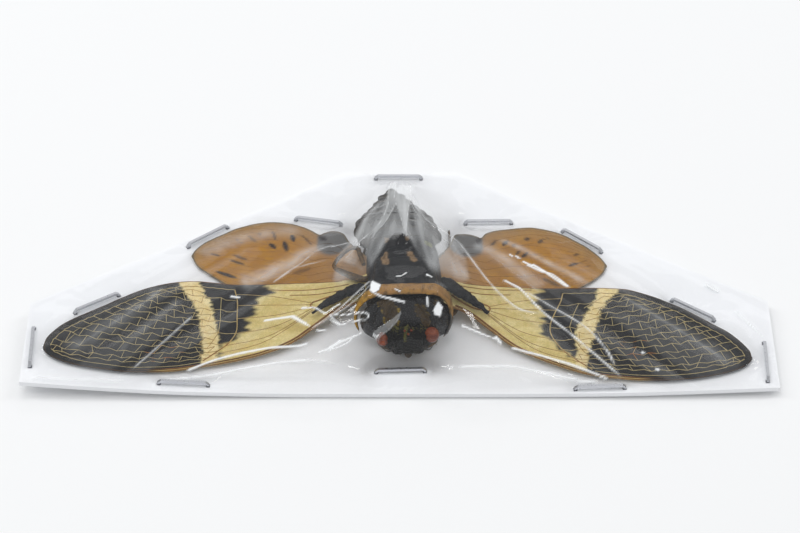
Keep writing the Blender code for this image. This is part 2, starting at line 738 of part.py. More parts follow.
def film_sheet(tops):
    """The film, drawn tight from the staples over all that stands up under it."""
    plan, triangles, pinned = film_plan()
    base = CARD_THICKNESS + THIN_GAP
    lowest = [max(base, tops.near(p.x, p.y, 0.7) + GAP) for p in plan]
    for i in pinned:
        lowest[i] = base
    around = [set() for _ in plan]
    for triangle in triangles:
        for i in triangle:
            around[i].update(triangle)
    height = list(lowest)
    n = FILM_PROBES
    weights = [(a / n, b / n, (n - a - b) / n) for a in range(n + 1) for b in range(n + 1 - a)]
    for _ in range(FILM_CHECKS):
        for _ in range(FILM_TIGHTENING):
            for i, others in enumerate(around):
                if i not in pinned and others:
                    mean = sum(height[k] for k in others if k != i) / max(1, len(others) - 1)
                    height[i] = max(lowest[i], mean)
        short = 0
        for triangle in triangles:
            for shares in weights:
                place = sum((plan[i] * s for i, s in zip(triangle, shares)), Vector((0.0, 0.0)))
                level = sum(height[i] * s for i, s in zip(triangle, shares))
                missing = tops.at(place.x, place.y) + GAP - level
                if missing > 0.005:
                    short += 1
                    for i in triangle:
                        if i not in pinned:
                            lowest[i] = max(lowest[i], height[i] + missing)
        if not short:
            break
    mesh = bmesh.new()
    rise = slopes(plan, triangles, height)
    lower, upper = {}, {}
    for i in sorted({i for triangle in triangles for i in triangle}):
        depth = FILM_THICKNESS * (1 if i in pinned else min(rise[i], 2.5))
        lower[i] = mesh.verts.new((*plan[i], height[i]))
        upper[i] = mesh.verts.new((*plan[i], height[i] + depth))
    borders = {}
    for a, b, c in triangles:
        mesh.faces.new((upper[a], upper[b], upper[c]))
        mesh.faces.new((lower[c], lower[b], lower[a]))
        for one, two in ((a, b), (b, c), (c, a)):
            if (two, one) in borders:
                del borders[two, one]
            else:
                borders[one, two] = True
    for one, two in borders:
        mesh.faces.new((upper[two], upper[one], lower[one], lower[two]))
    bmesh.ops.recalc_face_normals(mesh, faces=mesh.faces)
    return mesh


def put_in_scene(name, mesh, material):
    """The finished mesh as an object of its own, in metres."""
    data = bpy.data.meshes.new(name)
    bmesh.ops.scale(mesh, vec=(MM, MM, MM), verts=mesh.verts)
    mesh.to_mesh(data)
    mesh.free()
    made = bpy.data.objects.new(name, data)
    bpy.context.scene.collection.objects.link(made)
    if material:
        data.materials.append(material)
    return made


def combine(target, others, operation):
    """Joins the others to the target, or cuts them from it, and removes them."""
    group = bpy.data.collections.new("tools")
    bpy.context.scene.collection.children.link(group)
    for other in others:
        bpy.context.scene.collection.objects.unlink(other)
        group.objects.link(other)
        other.hide_render = True
        other.display_type = "WIRE"
    step = target.modifiers.new(operation.lower(), "BOOLEAN")
    step.operation = operation
    step.operand_type = "COLLECTION"
    step.collection = group
    step.solver = "EXACT"
    graph = bpy.context.evaluated_depsgraph_get()
    result = bpy.data.meshes.new_from_object(target.evaluated_get(graph))
    target.modifiers.clear()
    target.data = result
    for other in others:
        bpy.data.objects.remove(other, do_unlink=True)
    bpy.data.collections.remove(group)


def keep_largest_surface(made):
    """Drops the scraps that a cut or a join can leave beside the main surface."""
    mesh = bmesh.new()
    mesh.from_mesh(made.data)
    bmesh.ops.triangulate(mesh, faces=mesh.faces)
    unseen = set(mesh.verts)
    groups = []
    while unseen:
        group, edge = set(), [unseen.pop()]
        while edge:
            vert = edge.pop()
            group.add(vert)
            for link in vert.link_edges:
                other = link.other_vert(vert)
                if other in unseen:
                    unseen.remove(other)
                    edge.append(other)
        groups.append(group)
    largest = max(groups, key=len)
    bmesh.ops.delete(mesh, geom=[v for v in mesh.verts if v not in largest], context="VERTS")
    mesh.to_mesh(made.data)
    mesh.free()


def follow_curl(made, as_one):
    """Lifts the ends with the card's curl. A piece lifted as one keeps its faces flat."""
    xs = [vertex.co.x / MM for vertex in made.data.vertices]
    low, high = min(xs), max(xs)
    slope = (curl(high) - curl(low)) / (high - low)
    for vertex, x in zip(made.data.vertices, xs):
        vertex.co.z += MM * (curl(low) + slope * (x - low) if as_one else curl(x))
    made.data.update()


def insect_meshes():
    """Every piece of the insect that is a plain loft or tube, with its material's name."""
    pieces = {
        "head": (trunk_piece(HEAD_STATIONS[::-1]), "shell_black"),
        "pronotum": (trunk_piece(PRONOTUM_STATIONS), "shell_black"),
        "pronotum_collar": (trunk_piece(COLLAR_STATIONS), "collar_ochre"),
        "mesothorax": (trunk_piece(THORAX_STATIONS), "shell_black"),
        "abdomen": (ringed_abdomen(), "abdomen_grey"),
    }
    for name, centre in EYE_CENTRES.items():
        pieces[name] = (ball(centre, EYE_RADIUS), "eye_red")
    for name, side in (("antenna_left", -1), ("antenna_right", 1)):
        mesh = bmesh.new()
        tube(mesh, mirrored_path(ANTENNA, side), ANTENNA_RADII, 6)
        pieces[name] = (mesh, "shell_black")
    mesh = bmesh.new()
    tube(mesh, mirrored_path(ROSTRUM, 1), ROSTRUM_RADII, LEG_SIDES)
    pieces["rostrum"] = (mesh, "leg_brown")
    for name, points in LEGS.items():
        pieces[name] = (limb(points), "leg_brown")
    for name, wing in WINGS.items():
        material = "forewing_dark" if name.startswith("fore") else "hindwing_orange"
        pieces[name] = (wing_membrane(wing), material)
    return pieces


def main():
    clear_scene()
    materials = make_materials()
    pieces = insect_meshes()
    arms = [cross_arm(mirrored) for mirrored in (False, True)]
    tops = Tops([mesh for mesh, _ in pieces.values()] + arms)
    pieces["film"] = (film_sheet(tops), "film_clear")
    pieces["card"] = (card_plate(), "card_white")
    for name, ends in STAPLES.items():
        pieces[name] = (staple_shape(ends), "staple_steel")

    made = {}
    for name, (mesh, material) in pieces.items():
        made[name] = put_in_scene(name, mesh, materials[material])

    sockets = []
    for name, centre in EYE_CENTRES.items():
        sockets.append(put_in_scene("socket_" + name, ball(centre, EYE_RADIUS + GAP), None))
    combine(made["head"], sockets, "DIFFERENCE")
    raised = [put_in_scene("arm", arm, None) for arm in arms]
    combine(made["mesothorax"], raised, "UNION")
    guides = [put_in_scene("guide", staple_shape(ends, THIN_GAP), None) for ends in STAPLES.values()]
    combine(made["card"], guides, "DIFFERENCE")

    for name, node in made.items():
        keep_largest_surface(node)
        follow_curl(node, as_one=name in STAPLES)
        node.data.shade_smooth()
        node.data.set_sharp_from_angle(angle=math.radians(35))


main()
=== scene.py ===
import math
import random

import bmesh
import bpy
import numpy as np
from mathutils import Matrix, Vector, noise
from mathutils.bvhtree import BVHTree


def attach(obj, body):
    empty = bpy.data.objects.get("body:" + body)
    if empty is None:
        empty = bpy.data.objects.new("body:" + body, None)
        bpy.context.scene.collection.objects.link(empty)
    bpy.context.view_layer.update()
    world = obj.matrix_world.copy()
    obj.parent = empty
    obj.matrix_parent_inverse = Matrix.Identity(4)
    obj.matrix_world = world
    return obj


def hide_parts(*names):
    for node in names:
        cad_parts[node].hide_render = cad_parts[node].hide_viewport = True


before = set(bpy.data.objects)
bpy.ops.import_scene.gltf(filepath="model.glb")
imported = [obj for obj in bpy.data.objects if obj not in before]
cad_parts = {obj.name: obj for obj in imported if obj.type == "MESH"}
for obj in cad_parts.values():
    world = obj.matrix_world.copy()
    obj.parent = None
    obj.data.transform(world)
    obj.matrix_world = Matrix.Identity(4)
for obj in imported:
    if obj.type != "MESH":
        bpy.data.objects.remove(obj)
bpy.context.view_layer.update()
scene = bpy.context.scene
print("frame loaded,", len(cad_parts), "nodes")

# everything is modelled in mm, head towards -y, and scaled when a piece is finished
coverPoints, coverFaces = [], []  # what the film lies over

card = {
    "halfWidth": 68.5, "halfDepth": 27.4, "backHalf": 11.0, "shoulders": (-7.9, -6.3),
    "flatTo": 18.0, "curlLeft": 2.3, "curlRight": 1.0, "curlPower": 1.4,
    "bendFrom": 40, "bendOver": 28.5, "bendLeft": 0.9, "bendRight": 0.7, "bendPower": 1.3,
}
lie = {"turn": 3, "pivot": -11.9, "shift": 1.1}


def cardLift(x):
    # how far the card's curled ends stand up from the table
    x = np.asarray(x, float)
    past = np.maximum(0.0, np.abs(x) - card["flatTo"]) / (card["halfWidth"] - card["flatTo"])
    return np.where(x < 0, card["curlLeft"], card["curlRight"]) * past ** card["curlPower"]


def inBody(points):
    # the insect lies turned by a few degrees and a little to the right
    p = np.array(points, float).reshape(-1, 3)
    c, s = math.cos(math.radians(lie["turn"])), math.sin(math.radians(lie["turn"]))
    x, y = p[:, 0], p[:, 1] - lie["pivot"]
    return np.stack([x * c - y * s + lie["shift"], x * s + y * c + lie["pivot"], p[:, 2]], 1)


def getPoints(bm):
    return np.array([v.co[:] for v in bm.verts])


def setPoints(bm, points):
    for v, p in zip(bm.verts, points):
        v.co = p


def getNormals(bm):
    bm.normal_update()
    return np.array([v.normal[:] for v in bm.verts])


def smoothLine(points, count):
    # an even run of points along a smooth curve through the given ones
    p = np.array(points, float)
    p = np.vstack([2 * p[0] - p[1], p, 2 * p[-1] - p[-2]])
    u = np.linspace(0, 1, 16, endpoint=False)[:, None]
    parts = []
    for a, b, c, d in zip(p, p[1:], p[2:], p[3:]):
        parts.append(0.5 * (2 * b + (c - a) * u + (2 * a - 5 * b + 4 * c - d) * u ** 2
                            + (3 * b - a - 3 * c + d) * u ** 3))
    dense = np.vstack(parts + [p[-2:-1]])
    reach = np.r_[0, np.cumsum(np.linalg.norm(np.diff(dense, axis=0), axis=1))]
    at = np.linspace(0, reach[-1], count)
    return np.stack([np.interp(at, reach, dense[:, k]) for k in range(dense.shape[1])], 1)


def lineDistance(points, line):
    # distance to the line, and how far along it the nearest place is, 0 to 1
    line = np.array(line, float)
    points = np.asarray(points)[:, :line.shape[1]]
    best = np.full(len(points), 1e9)
    share = np.zeros(len(points))
    for k in range(len(line) - 1):
        d = line[k + 1] - line[k]
        t = np.clip(((points - line[k]) @ d) / max(d @ d, 1e-12), 0, 1)
        dist = np.linalg.norm(points - line[k] - t[:, None] * d, axis=1)
        closer = dist < best
        best[closer] = dist[closer]
        share[closer] = (k + t[closer]) / (len(line) - 1)
    return best, share


def nearestOnLine(points, line):
    # the nearest of the line's own points
    return np.array([np.argmin(((line - p) ** 2).sum(1)) for p in points])


def step(x, low, high):
    # 0 at low, 1 at high, smooth between
    t = np.clip((np.asarray(x, float) - low) / (high - low), 0, 1)
    return t * t * (3 - 2 * t)


def wobble(points, scale, seed=0.0):
    # smooth noise between about -1 and 1; scale is per mm
    return np.array([noise.noise(Vector((p[0] * scale + seed, p[1] * scale, p[2] * scale))) for p in points])


def flatWobble(points, scale, seed=0.0):
    return np.array([noise.noise(Vector((p[0] * scale + seed, p[1] * scale, seed))) for p in points])


def insideOutline(points, outline):
    points = np.asarray(points)
    x, y = points[:, 0], points[:, 1]
    odd = np.zeros(len(points), bool)
    for (ax, ay), (bx, by) in zip(outline, np.roll(outline, -1, axis=0)):
        if ay == by:
            continue
        crossed = ((ay > y) != (by > y)) & (x < ax + (y - ay) * (bx - ax) / (by - ay))
        odd ^= crossed
    return odd


# turns a bmesh in mm into a finished piece in metres, with its values for shading
def finishPiece(name, bm, material, replaced=(), fields=None, covered=False):
    points = getPoints(bm)
    if covered:
        bm.verts.index_update()
        coverFaces.extend([v.index + len(coverPoints) for v in f.verts] for f in bm.faces)
        coverPoints.extend(Vector(p) for p in points)
    points[:, 2] += cardLift(points[:, 0])
    setPoints(bm, points)
    bmesh.ops.scale(bm, vec=(0.001, 0.001, 0.001), verts=bm.verts)
    mesh = bpy.data.meshes.new(name)
    bm.to_mesh(mesh)
    bm.free()
    for key, values in (fields or {}).items():
        layer = mesh.attributes.new(key, "FLOAT", "POINT")
        layer.data.foreach_set("value", np.asarray(values, np.float32))
    mesh.shade_smooth()
    mesh.materials.append(material)
    piece = bpy.data.objects.new(name, mesh)
    scene.collection.objects.link(piece)
    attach(piece, "root")
    if replaced:
        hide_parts(*replaced)
    return piece


def tubes(splines, sides):
    # round tubes along lines of (points, radii), as one bmesh
    curve = bpy.data.curves.new("tubes", "CURVE")
    curve.dimensions = "3D"
    curve.bevel_depth = 1.0
    curve.bevel_resolution = sides
    curve.use_fill_caps = True
    for points, radii in splines:
        line = curve.splines.new("POLY")
        line.points.add(len(points) - 1)
        for dot, place, radius in zip(line.points, points, radii):
            dot.co = (*place, 1.0)
            dot.radius = radius
    holder = bpy.data.objects.new("tubes", curve)
    scene.collection.objects.link(holder)
    bpy.context.view_layer.update()
    mesh = bpy.data.meshes.new_from_object(holder.evaluated_get(bpy.context.evaluated_depsgraph_get()))
    bm = bmesh.new()
    bm.from_mesh(mesh)
    bpy.data.meshes.remove(mesh)
    bpy.data.objects.remove(holder)
    bpy.data.curves.remove(curve)
    return bm


# shading helpers

def newMaterial(name, **values):
    mat = bpy.data.materials.new(name)
    mat.use_nodes = True
    shader = mat.node_tree.nodes["Principled BSDF"]
    for key, value in values.items():
        shader.inputs[key.replace("_", " ")].default_value = value
    return mat, shader


def addNode(mat, kind, **settings):
    node = mat.node_tree.nodes.new("ShaderNode" + kind)
    for key, value in settings.items():
        if key in node.inputs:
            node.inputs[key].default_value = value
        else:
            setattr(node, key, value)
    return node


def plug(mat, source, target):
    mat.node_tree.links.new(source, target)


def noiseTexture(mat, scale, detail=4.0, rough=0.55, stretch=(1, 1, 1), turn=0.0, distort=0.0):
    # scale is features per mm
    coords = addNode(mat, "TexCoord")
    mapping = addNode(mat, "Mapping")
    mapping.inputs["Scale"].default_value = stretch
    mapping.inputs["Rotation"].default_value = (0, 0, turn)
    tex = addNode(mat, "TexNoise")
    tex.inputs["Scale"].default_value = scale * 1000
    tex.inputs["Detail"].default_value = detail
    tex.inputs["Roughness"].default_value = rough
    tex.inputs["Distortion"].default_value = distort
    plug(mat, coords.outputs["Object"], mapping.inputs["Vector"])
    plug(mat, mapping.outputs["Vector"], tex.inputs["Vector"])
    return tex.outputs["Fac"]


def field(mat, name):
    return addNode(mat, "Attribute", attribute_name=name).outputs["Fac"]


def spread(mat, fac, low, high, outLow=0.0, outHigh=1.0):
    node = addNode(mat, "MapRange")
    node.inputs["From Min"].default_value = low
    node.inputs["From Max"].default_value = high
    node.inputs["To Min"].default_value = outLow
    node.inputs["To Max"].default_value = outHigh
    plug(mat, fac, node.inputs["Value"])
    return node.outputs["Result"]


def compute(mat, operation, a, b):
    node = addNode(mat, "Math", operation=operation)
    for k, value in enumerate((a, b)):
        if isinstance(value, (int, float)):
            node.inputs[k].default_value = value
        else:
            plug(mat, value, node.inputs[k])
    return node.outputs["Value"]


def mixColour(mat, fac, a, b, mode="MIX"):
    node = addNode(mat, "Mix", data_type="RGBA", blend_type=mode)
    for key, value in ((0, fac), (6, a), (7, b)):
        if isinstance(value, (int, float)):
            node.inputs[key].default_value = value
        elif isinstance(value, tuple):
            node.inputs[key].default_value = (*value, 1.0)
        else:
            plug(mat, value, node.inputs[key])
    return node.outputs[2]


def addBump(mat, shader, height, strength, distance):
    # distance is in mm
    node = addNode(mat, "Bump")
    node.inputs["Strength"].default_value = strength
    node.inputs["Distance"].default_value = distance * 0.001
    plug(mat, height, node.inputs["Height"])
    plug(mat, node.outputs["Normal"], shader.inputs["Normal"])


# forewings

# front, rear and nodal are (x, y); the bands and the patch are (y, distance from the middle)
forewings = {
    "left": {
        "side": -1,
        "front": [(-5.9, -9.2), (-9.0, -9.6), (-12.0, -10.8), (-16.0, -14.0), (-20.0, -17.1), (-25.0, -19.4),
                  (-30.0, -21.0), (-36.0, -22.4), (-41.0, -23.4), (-47.5, -23.9), (-50.7, -23.8),
                  (-54.0, -23.4), (-57.3, -22.9), (-59.8, -22.3), (-61.4, -21.8), (-62.7, -21.2),
                  (-63.7, -20.6), (-64.4, -19.9)],
        "rear": [(-5.9, -4.2), (-9.0, -4.4), (-11.9, -4.2), (-19.9, -3.3), (-29.9, -3.1), (-35.0, -2.6),
                 (-38.2, -2.3), (-41.4, -2.5), (-44.5, -3.2), (-47.3, -4.2), (-49.9, -5.6), (-52.5, -7.2),
                 (-55.3, -9.0), (-57.8, -10.6), (-60.4, -12.3), (-62.3, -13.9), (-63.7, -15.6),
                 (-64.5, -17.0), (-64.8, -18.4)],
        "bandOuter": [(-2.5, 41.3), (-3.8, 40.8), (-5.7, 39.7), (-8.1, 38.1), (-10.2, 37.2), (-12.2, 36.9),
                      (-14.1, 36.6), (-16.1, 36.2), (-18.2, 36.0), (-19.7, 36.0), (-21.1, 36.1),
                      (-24.0, 36.3)],
        "bandInner": [(-2.5, 37.3), (-5.4, 36.3), (-7.7, 35.1), (-9.9, 34.6), (-12.7, 33.8), (-14.9, 33.3),
                      (-17.0, 33.1), (-18.1, 33.3), (-24.0, 33.5)],
        "patchInner": [(-2.5, 26.5), (-3.4, 25.5), (-5.1, 23.3), (-6.0, 26.3), (-8.8, 27.0), (-10.5, 27.6),
                       (-13.8, 28.5), (-15.4, 30.1), (-16.8, 31.5), (-17.8, 33.1), (-24.0, 34.0)],
        "nodal": [(-30.6, -2.9), (-30.0, -5.9), (-29.9, -9.7), (-29.9, -13.5), (-31.2, -16.4), (-33.2, -18.6),
                  (-36.0, -21.4)],
        "orange": (-43.0, -19.5),
        "hub": (-15.8, -8.6),
    },
    "right": {
        "side": 1,
        "front": [(7.0, -9.6), (10.0, -10.0), (13.0, -11.3), (16.6, -14.3), (20.5, -17.7), (24.4, -19.9),
                  (28.2, -21.7), (31.9, -23.2), (36.0, -24.3), (41.5, -25.0), (44.7, -25.2), (48.3, -25.3),
                  (51.5, -25.1), (54.6, -24.7), (57.6, -24.1), (59.7, -23.5), (61.4, -22.9), (62.6, -22.2),
                  (63.5, -21.4)],
        "rear": [(7.0, -4.2), (9.5, -4.5), (11.9, -4.6), (19.9, -4.2), (29.9, -3.9), (36.0, -3.6),
                 (41.7, -3.9), (44.5, -4.7), (47.0, -5.7), (49.3, -6.9), (52.1, -8.5), (54.8, -10.4),
                 (57.3, -12.3), (59.8, -14.1), (61.5, -15.8), (62.9, -17.6), (63.7, -19.0), (63.9, -20.2)],
        "bandOuter": [(-2.5, 41.8), (-3.8, 41.2), (-5.1, 40.2), (-6.4, 38.6), (-8.9, 37.3), (-11.7, 36.6),
                      (-14.4, 35.8), (-17.1, 34.9), (-19.8, 34.4), (-21.5, 34.0), (-25.5, 33.6)],
        "bandInner": [(-2.5, 37.2), (-3.8, 36.9), (-6.1, 36.3), (-8.9, 34.9), (-12.0, 33.2), (-14.4, 32.0),
                      (-16.9, 32.1), (-20.1, 32.1), (-25.5, 31.9)],
        "patchInner": [(-2.5, 27.0), (-4.7, 25.9), (-5.5, 24.6), (-8.1, 25.5), (-10.6, 26.9), (-12.8, 26.4),
                       (-14.7, 25.9), (-16.1, 27.3), (-18.0, 28.9), (-19.6, 30.7), (-20.1, 32.1),
                       (-25.5, 33.0)],
        "nodal": [(30.2, -3.9), (29.7, -6.0), (28.4, -9.1), (27.5, -12.1), (27.7, -14.6), (29.5, -17.9),
                  (32.1, -20.6), (35.0, -23.2)],
        "orange": (43.5, -18.0),
        "hub": (15.9, -9.4),
    },
}
forewingBuild = {
    "columns": 200, "rows": 66, "thickness": 0.08,
    "tipLevel": 1.75, "rootRise": 3.3, "rootFall": 9.0, "rearRise": 1.5, "rearFall": 30.0, "start": 8.0,
    "lines": 15, "cell": 3.3, "zigzag": 0.22, "border": 1.15, "marginFrom": 41.5,
    "veinRadius": 0.062, "tipBulge": 0.3,
}


def zone(y, table):
    table = np.array(sorted(table))
    return np.interp(y, table[:, 0], table[:, 1])


def forewingFields(points, wing):
    # the edges of the dark zones are toothed along the veins
    comb = np.array([noise.noise(Vector((q[0] * 0.35, q[1] * 1.5, 3.1))) for q in points])
    x = np.abs(points[:, 0]) + 0.75 * comb + 0.3 * flatWobble(points, 2.1, 8.2)
    y = points[:, 1] + 0.3 * flatWobble(points, 0.8, 5.5)
    outer = step(x - zone(y, wing["bandOuter"]), -0.22, 0.22)
    inner = step(x - zone(y, wing["bandInner"]), -0.22, 0.22)
    smear = np.array([noise.noise(Vector((q[0] * 0.15, q[1] * 1.1, 7.7))) for q in points])
    patch = step(x + 1.6 * smear - zone(y, wing["patchInner"]), -0.7, 0.6)
    dark = np.clip(outer + patch * (1 - inner), 0, 1)
    return {
        "dark": dark,
        "cream": inner * (1 - outer),
        "fromFront": lineDistance(points, smoothLine(wing["front"], 120))[0],
        "fromRear": lineDistance(points, smoothLine(wing["rear"], 120))[0],
        "reach": np.abs(points[:, 0]),
    }


def wingGrid(wing, build):
    # a flat grid laid between the two margins; b runs from the rear to the front
    front = smoothLine(wing["front"], build["columns"] + 1)
    rear = smoothLine(wing["rear"], build["columns"] + 1)
    bm = bmesh.new()
    bmesh.ops.create_grid(bm, x_segments=build["columns"], y_segments=build["rows"], size=0.5)
    p = getPoints(bm)
    a, b = p[:, 0] + 0.5, p[:, 1] + 0.5
    k = np.rint(a * build["columns"]).astype(int)
    place = rear[k] * (1 - b)[:, None] + front[k] * b[:, None]
    place[:, 0] += wing["side"] * build["tipBulge"] * (1 - (2 * b - 1) ** 2) * step(a, 0.955, 1.0)
    out = np.abs(place[:, 0]) - build["start"]
    level = (build["tipLevel"] + build["rootRise"] * np.exp(-out / build["rootFall"])
             + build["rearRise"] * (1 - b) * np.exp(-out / build["rearFall"]))
    p = np.column_stack([place, level])
    p[:, 2] += 0.10 * flatWobble(p, 0.18, 2.0) + 0.05 * flatWobble(p, 0.55, 9.0)
    setPoints(bm, p)
    if wing["side"] < 0:
        bmesh.ops.reverse_faces(bm, faces=bm.faces)
    return bm, front, rear


def thicken(bm, thickness):
    # gives an open sheet a lower skin and a rim
    made = bmesh.ops.extrude_face_region(bm, geom=bm.faces[:], use_keep_orig=True)
    lower = [item for item in made["geom"] if isinstance(item, bmesh.types.BMVert)]
    bmesh.ops.translate(bm, verts=lower, vec=(0, 0, -thickness))
    bmesh.ops.recalc_face_normals(bm, faces=bm.faces)


def veinTree(bm):
    tree = BVHTree.FromBMesh(bm)

    def onWing(x, y):
        hit = tree.ray_cast(Vector((x, y, 60)), Vector((0, 0, -1)))[0]
        return hit.z if hit else None
    return onWing


def resample(line, count):
    reach = np.r_[0, np.cumsum(np.linalg.norm(np.diff(line, axis=0), axis=1))]
    at = np.linspace(0, 1, count) * reach[-1]
    return np.stack([np.interp(at, reach, line[:, k]) for k in range(line.shape[1])], 1)


def forewingVeins(wing, build, onWing):
    side = wing["side"]
    seeds = random.Random(31 if side < 0 else 47)
    frontLine, rearLine = smoothLine(wing["front"], 400), smoothLine(wing["rear"], 400)
    loop = np.vstack([rearLine, frontLine[::-1]])
    along = np.gradient(loop, axis=0)
    along /= np.linalg.norm(along, axis=1)[:, None] + 1e-9
    inward = np.stack([along[:, 1], -along[:, 0]], 1)
    inward *= np.sign((loop.mean(0) - loop[200]) @ inward[200])
    reach = np.r_[0, np.cumsum(np.linalg.norm(np.diff(loop, axis=0), axis=1))]
    scallop = 0.13 * np.abs(np.sin(math.pi * reach / 1.7)) * (np.arange(800) < 430)
    inset = loop + inward * (build["border"] + scallop)[:, None]
    nodal = smoothLine(wing["nodal"], 80)
    x = np.abs(loop[:, 0])
    first = int(np.argmax(x > abs(nodal[0, 0])))
    corner = int(np.argmax(x > build["marginFrom"]))
    tip = 400 + int(np.argmax(x[400:] < abs(frontLine[-1, 0]) - 2.2))
    last = tip + int(np.argmax(x[tip:] < abs(nodal[-1, 0])))

    # the four sides of the netted part: nodal line, rear, outer and front margin
    nearSide = resample(nodal, 200)
    rearSide = resample(inset[first:corner + 1], 200)
    farSide = resample(inset[corner:tip + 1], 200)
    frontSide = resample(inset[tip:last + 1][::-1], 200)
    nearSide += np.linspace(1, 0, 200)[:, None] * (rearSide[0] - nearSide[0])
    nearSide += np.linspace(0, 1, 200)[:, None] * (frontSide[0] - nearSide[-1])

    def netPoint(u, v):
        def pick(line, t):
            return np.stack([np.interp(t, np.linspace(0, 1, 200), line[:, k]) for k in (0, 1)], 1)
        u, v = np.asarray(u, float), np.asarray(v, float)
        a, b = u[:, None], v[:, None]
        ends = (1 - a) * pick(nearSide, v) + a * pick(farSide, v)
        sides = (1 - b) * pick(rearSide, u) + b * pick(frontSide, u)
        corners = ((1 - a) * (1 - b) * rearSide[0] + (1 - a) * b * frontSide[0]
                   + a * (1 - b) * rearSide[-1] + a * b * frontSide[-1])
        return ends + sides - corners

    thin, strong, costal = [], [], []

    def lay(points, radius, group, taper=False):
        placed, radii = [], []
        for k, p in enumerate(points):
            z = onWing(p[0], p[1])
            if z is None:
                continue
            placed.append((p[0], p[1], z))
            share = k / max(1, len(points) - 1)
            radii.append(radius * (1 - 0.55 * share) if taper else radius)
        if len(placed) > 1:
            group.append((placed, radii))

    # long cells between lines that fan out from the nodal line to the outer margin
    lines, rows = build["lines"], []
    for j in range(1, lines):
        v = (j + seeds.uniform(-0.12, 0.12)) / lines
        dense = netPoint(np.linspace(0, 1, 160), np.full(160, v))
        far = np.r_[0, np.cumsum(np.linalg.norm(np.diff(dense, axis=0), axis=1))]
        across = np.gradient(dense, axis=0)
        across = np.stack([-across[:, 1], across[:, 0]], 1) / (np.linalg.norm(across, axis=1)[:, None] + 1e-9)
        marks, s, i = [], 0.0, 0
        while s < far[-1] - 0.5:
            shift = 0.0 if i == 0 else seeds.uniform(-0.42, 0.42)
            at = max(0.0, s + shift)
            k = int(np.searchsorted(far, at).clip(0, 159))
            bend = build["zigzag"] * (1 if (i + j) % 2 == 0 else -1) * (i > 0)
            marks.append(dense[k] + across[k] * side * (bend + seeds.uniform(-0.09, 0.09)))
            s += build["cell"] / 2
            i += 1
        rows.append((marks, dense, far))
    for j, (marks, dense, far) in enumerate(rows, 1):
        inBand = [abs(m[0]) < zone(m[1], wing["bandInner"]) for m in marks]
        keep = [m for m, inner in zip(marks, inBand) if not (inner and j % 2)] + [dense[-1]]
        points = resample(np.array(keep), max(2, len(keep) * 3))
        lay(points, build["veinRadius"] * seeds.uniform(0.85, 1.15), thin)
        if j >= len(rows):
            continue
        nextMarks, nextDense, nextFar = rows[j]
        for i in range(1, min(len(marks), len(nextMarks))):
            near = abs(marks[i][0]) < zone(marks[i][1], wing["bandInner"])
            if near and i % 2 == 0 and j % 2 == 0 and j + 1 < len(rows):
                other = rows[j + 1][0]
                if i < len(other):
                    lay(resample(np.array([marks[i], other[i]]), 4), build["veinRadius"], thin)
            elif not near and (i + j) % 2 == 0 and seeds.random() > 0.1:
                other = nextMarks[i] if seeds.random() > 0.12 else nextMarks[i - 1]
                points = resample(np.array([marks[i], other]), 3)
                lay(points, build["veinRadius"] * seeds.uniform(0.7, 1.0), thin)
        # a row of short cells along the outer margin
        if far[-1] > 5 and nextFar[-1] > 5:
            ends = []
            for d, f in ((dense, far), (nextDense, nextFar)):
                k = int(np.searchsorted(f, f[-1] - 1.75 - 0.5 * (j % 2)).clip(0, 159))
                ends.append(d[k])
            lay(resample(np.array(ends), 3), build["veinRadius"] * 0.85, thin)
    lay(list(inset[first:last]), build["veinRadius"] * 1.05, thin)

    # nodal line and the plain veins of the basal part
    lay(list(nearSide[::5]), 0.11, strong)
    hub = np.array(wing["hub"])
    for share in (0.06, 0.2, 0.36, 0.54, 0.71, 0.86):
        goal = nearSide[int(share * 199)]
        bulge = np.array([0.0, (goal[1] - hub[1]) * 0.18])
        begin = hub + np.array([side * 0.3, (goal[1] - hub[1]) * 0.12])
        lay(list(smoothLine([begin, (begin + goal) / 2 + bulge, goal], 16)), 0.055, strong)
    root = np.array([side * 9.5, -7.2])
    for shift in (-0.75, 0.65):
        middle = (root + hub) / 2 + np.array([0, shift * 1.2])
        stem = [root + (0, shift * 0.4), middle, hub + (side * 0.3, shift * 0.9)]
        lay(list(smoothLine(stem, 12)), 0.15, strong)
    knot = [hub + (side * 0.3, -0.7), hub + (side * 0.8, 0.0), hub + (side * 0.3, 0.6)]
    lay(list(smoothLine(knot, 8)), 0.14, strong)
    for a, b in (((9.5, -5.3), (24.5, -4.5)), ((10.5, -6.2), (20.5, -6.0))):
        middle = ((a[0] + b[0]) / 2 * side, (a[1] + b[1]) / 2 - 0.25)
        lay(list(smoothLine([(side * a[0], a[1]), middle, (side * b[0], b[1])], 16)), 0.09, strong)

    # thick veins along the front margin, and the fine rim behind
    rim = loop[400:][::-1]
    rimIn = inward[400:][::-1]
    lay(list(rim[6:392] + rimIn[6:392] * 0.14), 0.17, costal, taper=True)
    lay(list(rim[20:300:3] + rimIn[20:300:3] * 0.62), 0.2, costal, taper=True)
    lay(list(loop[30:404] + inward[30:404] * 0.04), 0.06, costal)
    return thin, strong, costal


